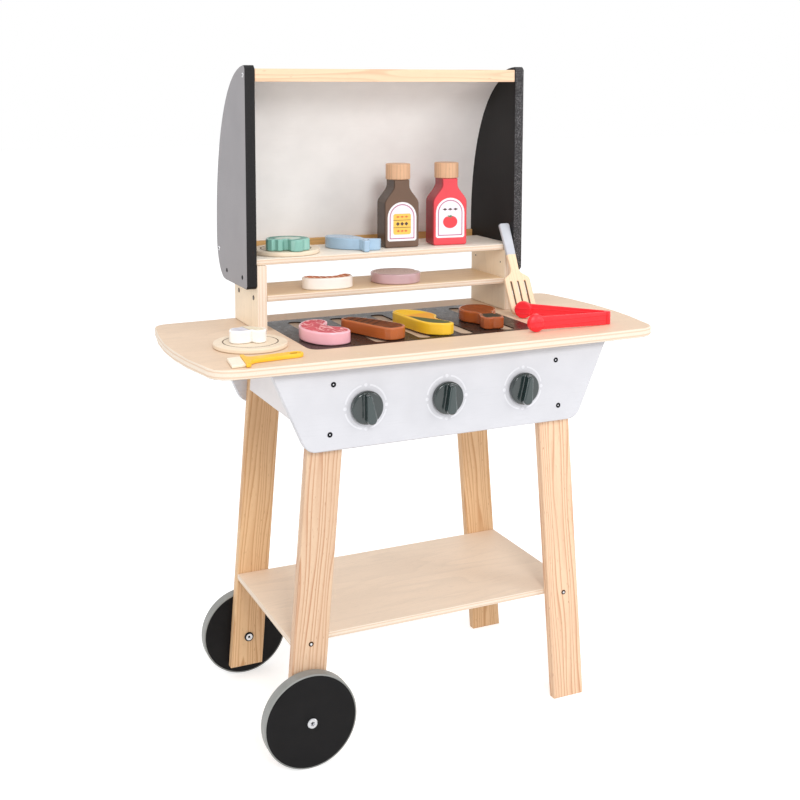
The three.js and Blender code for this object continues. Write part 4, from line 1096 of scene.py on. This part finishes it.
def arch(width, foot, top, corner, steps=14):
    """A label outline with a round arch on top and eased foot corners."""
    half = width / 2
    spring = top - half
    turns = (math.pi * i / steps for i in range(1, steps))
    return [(-half + corner, foot), (half - corner, foot), (half, foot + corner),
            (half, spring),
            *((half * math.cos(turn), spring + half * math.sin(turn)) for turn in turns),
            (-half, spring), (-half, foot + corner)]


def plaque(half, low, high, corner):
    """A rectangle with cut corners."""
    side, foot, top = half - corner, low + corner, high - corner
    return [(-side, low), (side, low), (half, foot), (half, top), (side, high),
            (-side, high), (-half, top), (-half, foot)]


def lozenges(level, half, tall, count=3):
    """A row of lozenges that stands in for a line of words."""
    pitch = 2 * half / count
    reach = pitch * 0.45
    middles = (-half + pitch * (i + 0.5) for i in range(count))
    return [[(x - reach, level), (x, level - tall), (x + reach, level), (x, level + tall)]
            for x in middles]


def petals(wide, tall, level, steps, reach_at):
    """A closed outline round a middle, its reach given turn by turn."""
    found = []
    for i in range(steps):
        turn = math.tau * i / steps
        across, up = reach_at(i, turn)
        found.append((wide * across * math.cos(turn), level + tall * up * math.sin(turn)))
    return found


class TOYGRILL_OT_bottles(GrillStep):
    """Shapes the two bottles, their caps and their unlettered labels."""

    bl_idname = "toy_grill.bottles"
    bl_label = "Bottles"

    def build(self, colours, sizes):
        shared = [painted("Label paper", colours.label),
                  painted("Label line", colours.label_line),
                  painted("Label field", colours.label_field)]
        bright = painted("Label ornament", colours.ornament)
        dark = painted("Label dark ornament", colours.ornament_dark)
        block = painted("Label block", colours.label_block)
        tomato = painted("Tomato print", colours.tomato)
        leaf = painted("Leaf print", colours.leaf)
        for name, turn, paint, foot, top, motif, inks in (
            ("sauce", sizes.sauce_turn, colours.sauce, 9.4 * mm, 64.5 * mm,
             self.block, (block, bright, dark)),
            ("ketchup", sizes.ketchup_turn, colours.ketchup, 10.7 * mm, 68.0 * mm,
             self.tomato, (tomato, leaf, dark)),
        ):
            bottle = name + "_bottle"
            at = middle(bottle)
            placing = Matrix.Translation((at.x, at.y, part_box(bottle)[0].z))
            placing = placing @ Matrix.Rotation(turn, 4, "Z") @ Matrix.Rotation(math.pi / 2, 4, "X")
            points, (back, front) = outline_of(bottle, placing)
            points = shouldered(refined(points), sizes.bottle_shoulder, sizes.bottle_neck)
            # The bottles' flanks are painted at half tone: a painted shade.
            coat = lacquered(f"{bottle} paint", paint, specular=0.1, coat=0.04, flank_shade=0.5)
            shape = soft_slab(points, back, front, sizes.bottle_round)
            stand_for(mesh_of(bottle, shape, placing, coat), bottle)
            line = sizes.label_line
            slips = [(arch(sizes.label_width - 2 * away, foot + away, top - away, corner * mm),
                      mark, rise) for mark, (away, corner, rise) in enumerate((
                          (0, 2, 1.5), (line, 1, 2.1), (line + 1.3 * mm, 0.6, 2.7)))]
            label = joined(self.slip(front, *each) for each in slips + motif())
            label = mesh_of(name + "_label", label, placing, *shared, *inks)
            show(name + "_label", label, bottle)
            self.cap(name + "_cap", colours)

    def slip(self, front, points, mark, rise):
        """A thin printed layer on the bottle's front, over those of a lower rise."""
        layer = 0.07 * mm
        foot = front if mark else front - layer
        corners, faces, _ = stacked([level_ring(points, foot),
                                     level_ring(points, front + rise * layer)])
        return corners, faces, [mark] * len(faces)

    def block(self):
        """A plain block with two rules and rows of lozenges."""
        half = 13.2 * mm
        made = [(plaque(half, 18.5 * mm, 48 * mm, 2 * mm), 3, 3.3)]
        for level in (28.2 * mm, 38.6 * mm):
            made.append((plaque(half, level, level + 0.7 * mm, 0.2 * mm), 5, 3.9))
        for level, wide, tall, mark in (
            (23.6, 8.5, 1.7, 4), (33.7, 9.5, 2.9, 5), (43.6, 9.5, 1.5, 4),
        ):
            rows = lozenges(level * mm, wide * mm, tall * mm)
            made += [(each, mark, 3.9) for each in rows]
        return made

    def tomato(self):
        """A round fruit, dipped where its leaves sit, under a row of lozenges."""
        def dipped(i, turn):
            return 1, 1 - 0.14 * max(0.0, math.sin(turn)) ** 6

        def pointed(i, turn):
            return ((1.0, 0.62, 0.42, 0.62)[i % 4],) * 2

        fruit = petals(10.8 * mm, 9.2 * mm, 33.5 * mm, 40, dipped)
        leaves = petals(5.4 * mm, 2.3 * mm, 41.4 * mm, 20, pointed)
        rows = lozenges(51.5 * mm, 12 * mm, 1.8 * mm)
        return [(fruit, 3, 3.3), (leaves, 4, 3.9)] + [(each, 5, 3.3) for each in rows]

    def cap(self, name, colours):
        rounding, steps = 1.4 * mm, 72
        beech = Finish(f"{name} beech", roughness=0.48, specular=0.35)
        figure, fibre = ringed(beech, tone(colours.cap, 1.05), tone(colours.cap, 0.82), "Z",
                               0.0065, tuple(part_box(name)[0]), (0, 0, 0.4))
        beech.paint(figure).relief(fibre, 0.0001, 0.5)
        turn_upright(name, rounding, steps, beech)


# Printed tops of the food; each takes the finish, the paints, and a place with its turn
def marbled(top, colours, where):
    fat = top.noise((0.034, 0.0125, 1), 1.5, 0.55, 0.9, where)
    red = top.cloudy(colours.steak_top, 0.86, 1.12, 0.02)
    red = top.mix(top.step(top.noise(0.0017, 1), 0.55, 0.75), red,
                  blend_of(colours.steak_top, colours.steak, 0.5))
    return top.mix(top.step(top.off(fat), 0.04, 0.01), red, linear(238, 180, 180))


def striped(top, colours, where):
    x, y, _ = top.parts((0.0105, 0.0105, 1), *where)
    bar = top.off(top.sum("FRACT", top.sum("MULTIPLY_ADD", y, 0.34, x)))
    charred = top.times(top.step(bar, 0.2, 0.1), top.step(x, 1.6, 0.9))
    return top.mix(charred, top.cloudy(colours.slab, 0.24, 0.4, 0.009, 3),
                   tone(colours.slab, 0.1))


def ripened(top, colours, where):
    x, y, _ = top.parts((0.01, 0.01, 1), *where)
    front = top.sum("MULTIPLY_ADD", x, 0.42, top.times(y, -1))
    green = top.times(top.step(front, 0.75, 0.95), top.step(x, -0.9, -0.6))
    skin = top.mix(top.step(x, -2.4, -1.2), tone(colours.banana, 0.93), colours.banana_top)
    skin = top.mix(green, skin, linear(86, 94, 58))
    speck = top.step(top.noise(0.003), 0.68, 0.8)
    return top.mix(speck, skin, tone(colours.banana_top, 0.6))


def roasted(top, colours, where):
    x, _, _ = top.parts((0.01, 0.01, 1), *where)
    crisp = top.noise((0.011, 0.006, 1), 3, 0.6, 0.8, where)
    brown = top.ramp(crisp, *((stop, tone(colours.drumstick, share)) for stop, share in (
        (0.3, 0.5), (0.55, 0.66), (0.75, 0.9))))
    return top.mix(top.step(x, 2.0, 2.2), brown, linear(62, 58, 50))


def gilled(top, colours, where):
    x, y, _ = top.parts((0.01, 0.01, 1), *where)
    cloud = top.noise(0.008)
    stem = top.sum("MULTIPLY_ADD", y, 0.6, x)
    cap = top.ramp(cloud, (0.35, linear(200, 198, 208)), (0.65, linear(226, 223, 230)))
    foot = top.ramp(cloud, (0.35, linear(222, 208, 180)), (0.65, linear(238, 228, 206)))
    line = top.times(top.step(top.unsigned(stem), 0.14, 0.06), 0.6)
    shade = top.mix(top.step(stem, -0.05, 0.05), cap, foot)
    return top.mix(line, shade, linear(172, 150, 122))


def seeded(top, colours, where):
    reach = top.reach((0.022, 0.018, 1e3), *where)
    flesh = top.mix(top.step(reach, 0.86, 0.72), tone(colours.pepper, 0.72),
                    blend_of(colours.pepper, (0.75, 0.8, 0.72), 0.7))
    pips = top.times(top.step(top.noise(0.0036, 0), 0.62, 0.7), top.step(reach, 0.62, 0.5))
    return top.mix(pips, flesh, linear(222, 214, 178))


def scaled(top, colours, where):
    x, y, _ = top.parts((0.0062, 0.0062, 1), *where)
    wave = top.sum("COSINE", top.times(y, 5.5))
    rows = top.sum("FRACT", top.sum("MULTIPLY_ADD", wave, 0.16, x))
    line = top.times(top.step(top.off(rows), 0.44, 0.5), top.step(top.unsigned(x), 4.2, 3.8))
    light = blend_of(colours.fish, (0.82, 0.86, 0.92), 0.35)
    return top.mix(line, light, tone(colours.fish, 0.72))


def banded(top, colours, where):
    x, _, _ = top.parts((0.0085, 0.0085, 1), *where)
    band = top.step(top.off(top.sum("FRACT", x)), 0.16, 0.06)
    shell = top.cloudy(colours.prawn_top, 0.85, 1.15, 0.01)
    return top.mix(band, shell, linear(240, 200, 170))


def onion_rings(top, colours, where):
    reach = top.reach((0.0048, 0.0048, 1e3), *where)
    rings = top.sum("FRACT", top.sum("MULTIPLY_ADD", top.noise(0.02, 1), 0.8, reach))
    line = top.times(top.step(top.off(rings), 0.4, 0.5), 0.8)
    return top.mix(line, colours.onion_top, tone(colours.onion, 0.8))


class TOYGRILL_OT_food(GrillStep):
    """Shapes the painted wooden food and prints its tops."""

    bl_idname = "toy_grill.food"
    bl_label = "Wooden food"

    def build(self, colours, sizes):
        in_place = Matrix.Identity(4)
        for name, paint, printed, degrees in (
            ("steak", colours.steak, marbled, -86),
            ("grilled_slab", colours.slab, striped, -67),
            ("banana", colours.banana, ripened, -80),
            ("drumstick", colours.drumstick, roasted, -99),
            ("mushroom", colours.mushroom, gilled, -22),
            ("pepper", colours.pepper, seeded, -22),
            ("fish", colours.fish, scaled, -62),
            ("prawn", colours.prawn, banded, -6),
            ("onion_slice", colours.onion, onion_rings, -20),
        ):
            side = lacquered(f"{name} side", paint)
            top = Finish(f"{name} top", roughness=0.45, specular=0.04)
            at = middle(name)
            where = (at.x, at.y, 0), (0, 0, math.radians(degrees))
            top.paint(printed(top, colours, where))
            top.relief(top.noise(0.0025), 0.00006, 0.4)
            points, (low, high) = outline_of(name, in_place)
            rim = sizes.food_rim if name == "steak" else sizes.food_round + 1.2 * mm
            shape = soft_slab(refined(points), low, high, sizes.food_round, rim)
            stand_for(mesh_of(name, shape, in_place, side, top), name)


class TOYGRILL_OT_tongs(GrillStep):
    """Moulds the two arms of the tongs."""

    bl_idname = "toy_grill.tongs"
    bl_label = "Tongs"

    def build(self, colours, sizes):
        red = Finish("Tongs plastic", roughness=0.4, specular=0.45)
        red.paint(red.cloudy(colours.tongs, 0.93, 1.04, 0.02))
        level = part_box("tongs_front_arm")[0].z + sizes.rib_level
        rib_off, rib_foot, rib_top = 3.4, 1.1, 0.5  # millimetres
        away = red.off(red.unsigned(red.parts(1 * mm, (0, 0, level))[2]), rib_off)
        rib = red.step(away, rib_foot, rib_top)
        red.relief(red.sum("MULTIPLY_ADD", red.noise(0.0014), 0.1, rib), 0.0008, 0.6)
        for name in ("tongs_front_arm", "tongs_back_arm"):
            moulded(name, sizes.tongs_voxel, passes=4, finish=red)


class TOYGRILL_OT_spatula(GrillStep):
    """Finishes the spatula, whose handle end is dipped in paint."""

    bl_idname = "toy_grill.spatula"
    bl_label = "Spatula"

    def build(self, colours, sizes):
        dip_level, slot_top, blade_half = 91.4 * mm, 53 * mm, 14.1 * mm
        low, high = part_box("spatula")
        where = ((low.x + high.x) / 2, low.y, low.z), (
            -math.atan2(high.y - low.y, high.z - low.z), 0, 0)
        wood = Finish("Spatula wood", roughness=0.48, specular=0.35)
        figure, fibre = ringed(wood, colours.spatula, tone(colours.spatula, 0.86), "Z", 0.006,
                               *where)
        across, _, height = wood.parts(1, *where)
        walls = wood.times(wood.square_on("X", 0.8, 0.9), wood.step(
            wood.unsigned(across), blade_half + 0.1 * mm, blade_half - 0.1 * mm))
        cuts = wood.times(walls, wood.step(height, slot_top + 1 * mm, slot_top - 1 * mm))
        shade = blend_of(tone(colours.spatula, 0.2), colours.rail, 0.25)
        dipped = wood.step(height, dip_level - 0.2 * mm, dip_level + 0.2 * mm)
        paint = wood.cloudy(colours.spatula_end, 0.95, 1.03, 0.01)
        wood.paint(wood.mix(dipped, wood.mix(cuts, figure, shade), paint))
        dress(wood.relief(fibre, 0.0001, 0.4), "spatula")


class TOYGRILL_OT_brush(GrillStep):
    """Paints the basting brush and its cream tip."""

    bl_idname = "toy_grill.brush"
    bl_label = "Brush"

    def build(self, colours, sizes):
        lie, hole_from_end, hole_from_side = math.radians(6), 11.2 * mm, 8.4 * mm
        turn = (0, 0, lie)
        handle = Finish("Brush paint", roughness=0.38, specular=0.35)
        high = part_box("brush_handle")[1]
        hole = (high.x - hole_from_end * math.cos(lie),
                high.y - hole_from_end * math.sin(lie) - hole_from_side, 0)
        x, y, _ = handle.parts((7.9 * mm, 4.8 * mm, 1), hole, turn)
        # The hole's walls are painted darker: a painted shade inside the hole.
        inside = handle.times(handle.step(handle.squares(x, y), 1.1, 1.0),
                              handle.step(handle.facing("Z"), 0.5, 0.3))
        yellow = handle.cloudy(colours.brush, 0.95, 1.03, 0.02)
        handle.paint(handle.mix(inside, yellow, tone(colours.brush, 0.6)))
        dress(handle.relief(handle.noise(0.003), 0.0001, 0.4), "brush_handle")
        tip = Finish("Brush tip paint", roughness=0.6, specular=0.3)
        streak = tip.noise((0.02, 0.0009, 0.0009), 2, 0.6, where=((0, 0, 0), turn))
        tip.paint(tip.ramp(streak, (0.3, tone(colours.brush_tip, 0.88)),
                           (0.65, colours.brush_tip)))
        dress(tip.relief(streak, 0.0003, 0.7), "brush_tip")


class TOYGRILL_OT_fasteners(GrillStep):
    """Sets the screws that join the boards, and the plugs in the tabletop."""

    bl_idname = "toy_grill.fasteners"
    bl_label = "Screws and plugs"

    def build(self, colours, sizes):
        black_steel, zinc_paint = colours.black_steel, colours.zinc
        zinc = metal("Zinc screws", zinc_paint, roughness=0.36)
        dark = painted("Black screws", tone(black_steel, 0.35), roughness=0.5, specular=0.2)
        # The shelf screws' heads are dark brown, with zinc in their sockets.
        dark_brown_metal = metal("Burnished screws", tone(colours.groove, 0.5), roughness=0.45)
        # The hood screws' socket floors are painted near black: a painted shade inside the socket.
        recess = Finish("Screw recess", roughness=0.7, specular=0.1)
        recess.paint(recess.cloudy(black_steel, 0.7, 1, 0.001))
        panel_screws = [f"{row}_{side}_panel_screw" for row in ("upper", "lower")
                        for side in ("left", "right")]
        # Each black panel screw gets a small zinc-coloured disc in its middle: a painted highlight.
        for name in panel_screws:
            dress(marked_steel(f"{name} steel", 0.36, (black_steel, 0.86, 1), glint_mark,
                               zinc_paint, middle(name), 0.8 * mm), name, crease=35)

        tree, head = heads_tree(), screw_head()

        def set_heads(name, places, size, finish, slot, inside=None):
            values = {"Head": head, "Size": size, "Finish": finish.material,
                      "Recess": (inside or finish).material}
            tree.grow(name, places, values, slot)

        def on_both_sides(x, outward, *places):
            """Places left and right, each aimed outwards with 1 or inwards with -1."""
            return [((side * x, y, z), (side * outward, 0, 0))
                    for side in (-1, 1) for y, z in places]

        # Places of the screws and plugs, from the ends, edges and feet of their boards
        shelf_in, mid_front, mid_back = 22.4 * mm, 17 * mm, 20 * mm
        hood_up, hood_front, hood_back = 14 * mm, 19.6 * mm, 89.4 * mm
        tip_up, tip_front, tip_back = 12 * mm, 13 * mm, 87 * mm
        plug_in, plug_x = 6 * mm, 121 * mm

        leg_front, leg_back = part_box("front_left_leg")[0].y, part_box("rear_left_leg")[1].y
        panel_front, panel_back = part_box("front_panel")[0].y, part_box("rear_panel")[1].y
        shelf, shelf_end = middle("lower_shelf"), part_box("lower_shelf")[1].x - shelf_in
        joints = [((side * shelf_end, y, shelf.z), (0, aim, 0)) for side in (-1, 1)
                  for y, aim in ((leg_front, -1), (leg_back, 1))]
        post_in, post_out = (corner.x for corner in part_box("right_post"))
        mid_low, mid_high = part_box("mid_shelf")
        mid_z = (mid_low.z + mid_high.z) / 2
        joints += on_both_sides(post_out, 1, (mid_low.y + mid_front, mid_z),
                                (mid_high.y - mid_back, mid_z))
        set_heads("shelf_screws", joints, sizes.wood_screw, dark_brown_metal, "black_steel", zinc)

        low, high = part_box("hood_right_side")
        low_row, tip_row = low.z + hood_up, low.z + tip_up
        blacks = on_both_sides(high.x, 1, (low.y + hood_front, low_row),
                               (low.y + hood_back, low_row))
        blacks += [((at.x, panel_back, at.z), (0, 1, 0)) for at in map(middle, panel_screws)]
        set_heads("black_screws", blacks, sizes.hood_screw, dark, "black_steel")
        bar, rail = middle("hood_top_bar"), middle("hood_rear_rail")
        lights = on_both_sides(high.x, 1, (bar.y, bar.z), (rail.y, rail.z))
        set_heads("hood_screws", lights, sizes.wood_screw, zinc, "zinc", recess)
        tips = on_both_sides(post_in, -1, (low.y + tip_front, tip_row),
                             (low.y + tip_back, tip_row))
        set_heads("screw_tips", tips, sizes.hood_screw * 0.42, dark, "black_steel")
        bpy.data.objects.remove(head)

        head = pattern("plug head", turned([(1.0, -0.4), (1.0, 0.01), (0.94, 0.03)], steps=24))
        wood = Finish("Plug wood", roughness=0.55, specular=0.3)
        wood.paint(wood.ramp(wood.noise(0.0012), (0.3, tone(colours.ply_dark, 0.92)),
                             (0.7, colours.ply)))
        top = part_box("tabletop")[1].z
        plugs = [((side * plug_x, y, top), (0, 0, 1)) for side in (-1, 1)
                 for y in (panel_front + plug_in, panel_back - plug_in)]
        set_heads("table_plugs", plugs, sizes.plug, wood, "plywood")
        bpy.data.objects.remove(head)


class TOYGRILL_OT_stage(GrillStep):
    """Lays the pale floor, the plain soft light and the camera."""

    bl_idname = "toy_grill.stage"
    bl_label = "Stage"

    def build(self, colours, sizes):
        scene = bpy.context.scene
        scene.view_settings.view_transform = "Standard"
        self.floor()
        self.light(scene)
        lens = bpy.data.cameras.new("Camera")
        lens.lens, lens.sensor_width = 53.23, 36
        lens.shift_x, lens.shift_y = 0.0238, -0.2282
        place, pan, tilt = (-0.67647, -1.43811, 0.83808), -24.23, 83.59
        camera = loose("Camera", lens)
        camera.matrix_world = (
            Matrix.Translation(place) @ Matrix.Rotation(math.radians(pan), 4, "Z")
            @ Matrix.Rotation(math.radians(tilt), 4, "X"))
        scene.camera = camera

    def floor(self):
        reach, grey, glow_strength = 14, 0.8, 0.5
        mesh = bpy.data.meshes.new("Floor")
        mesh.from_pydata([(-reach, -reach, 0), (reach, -reach, 0), (reach, reach, 0),
                          (-reach, reach, 0)], [], [(0, 1, 2, 3)])
        surface = Finish("Floor", roughness=0.9, specular=0.0).paint((grey,) * 3)
        matt = surface.shader.outputs[0]
        glow = surface.make("Emission", {"Strength": glow_strength})
        surface.by_ray(matt, surface.make("AddShader", {0: matt, 1: glow}), "Material Output")
        mesh.materials.append(surface.material)
        floor = loose("Floor", mesh)

    def light(self, scene):
        world = bpy.data.worlds.new("Studio")
        world.use_nodes = True
        scene.world = world
        sky = Nodes(world.node_tree)
        sky.tree.nodes.remove(sky.tree.nodes["Background"])
        soft, white = (sky.make("Background", {"Color": (1, 1, 1), "Strength": strength})
                       for strength in (0.76, 1.0))
        sky.by_ray(soft, white, "World Output")
        aim_at = Vector((0, 0, 0.45))
        for name, place, wide, tall, watts in (
            ("Key", (-0.5, -2.95, 2.1), 0.8, 0.8, 38), ("Fill", (2.1, -2.3, 1.4), 0.9, 1.4, 19),
            ("Strip", (2.6, -0.7, 0.7), 0.3, 1.6, 5), ("Top", (0, -0.2, 2.5), 1.4, 0.3, 8),
            ("Side", (-3.1, -0.6, 0.8), 1.1, 1.1, 16),
        ):
            lamp = bpy.data.lights.new(name, "AREA")
            lamp.shape, lamp.size, lamp.size_y, lamp.energy = "RECTANGLE", wide, tall, watts
            holder = loose(name, lamp)
            holder.location = place
            holder.rotation_euler = (aim_at - Vector(place)).to_track_quat("-Z", "Y").to_euler()


STEPS = (
    TOYGRILL_OT_boards, TOYGRILL_OT_legs, TOYGRILL_OT_panels, TOYGRILL_OT_plate,
    TOYGRILL_OT_wheels, TOYGRILL_OT_knobs, TOYGRILL_OT_hood, TOYGRILL_OT_dishes,
    TOYGRILL_OT_bottles, TOYGRILL_OT_food, TOYGRILL_OT_tongs, TOYGRILL_OT_spatula,
    TOYGRILL_OT_brush, TOYGRILL_OT_fasteners, TOYGRILL_OT_stage,
)


class TOYGRILL_PT_main(bpy.types.Panel):
    """Lists the steps that build the toy, and the values that they use."""

    bl_idname = "TOYGRILL_PT_main"
    bl_label = "Toy barbecue grill"
    bl_space_type = "VIEW_3D"
    bl_region_type = "UI"
    bl_category = "Toy Grill"

    def draw(self, context):
        settings = context.scene.toy_grill
        for step in STEPS:
            self.layout.operator(step.bl_idname)
        for group in (settings.sizes, settings.colours):
            box = self.layout.box()
            for key in group.__annotations__:
                box.prop(group, key)


CLASSES = (GrillColours, GrillSizes, GrillSettings, *STEPS, TOYGRILL_PT_main)


def register():
    for each in CLASSES:
        bpy.utils.register_class(each)
    bpy.types.Scene.toy_grill = bpy.props.PointerProperty(type=GrillSettings)


def unregister():
    del bpy.types.Scene.toy_grill
    for each in reversed(CLASSES):
        bpy.utils.unregister_class(each)


def main():
    register()
    for step in STEPS:
        family, action = step.bl_idname.split(".")
        getattr(getattr(bpy.ops, family), action)()


if __name__ == "__main__":
    main()
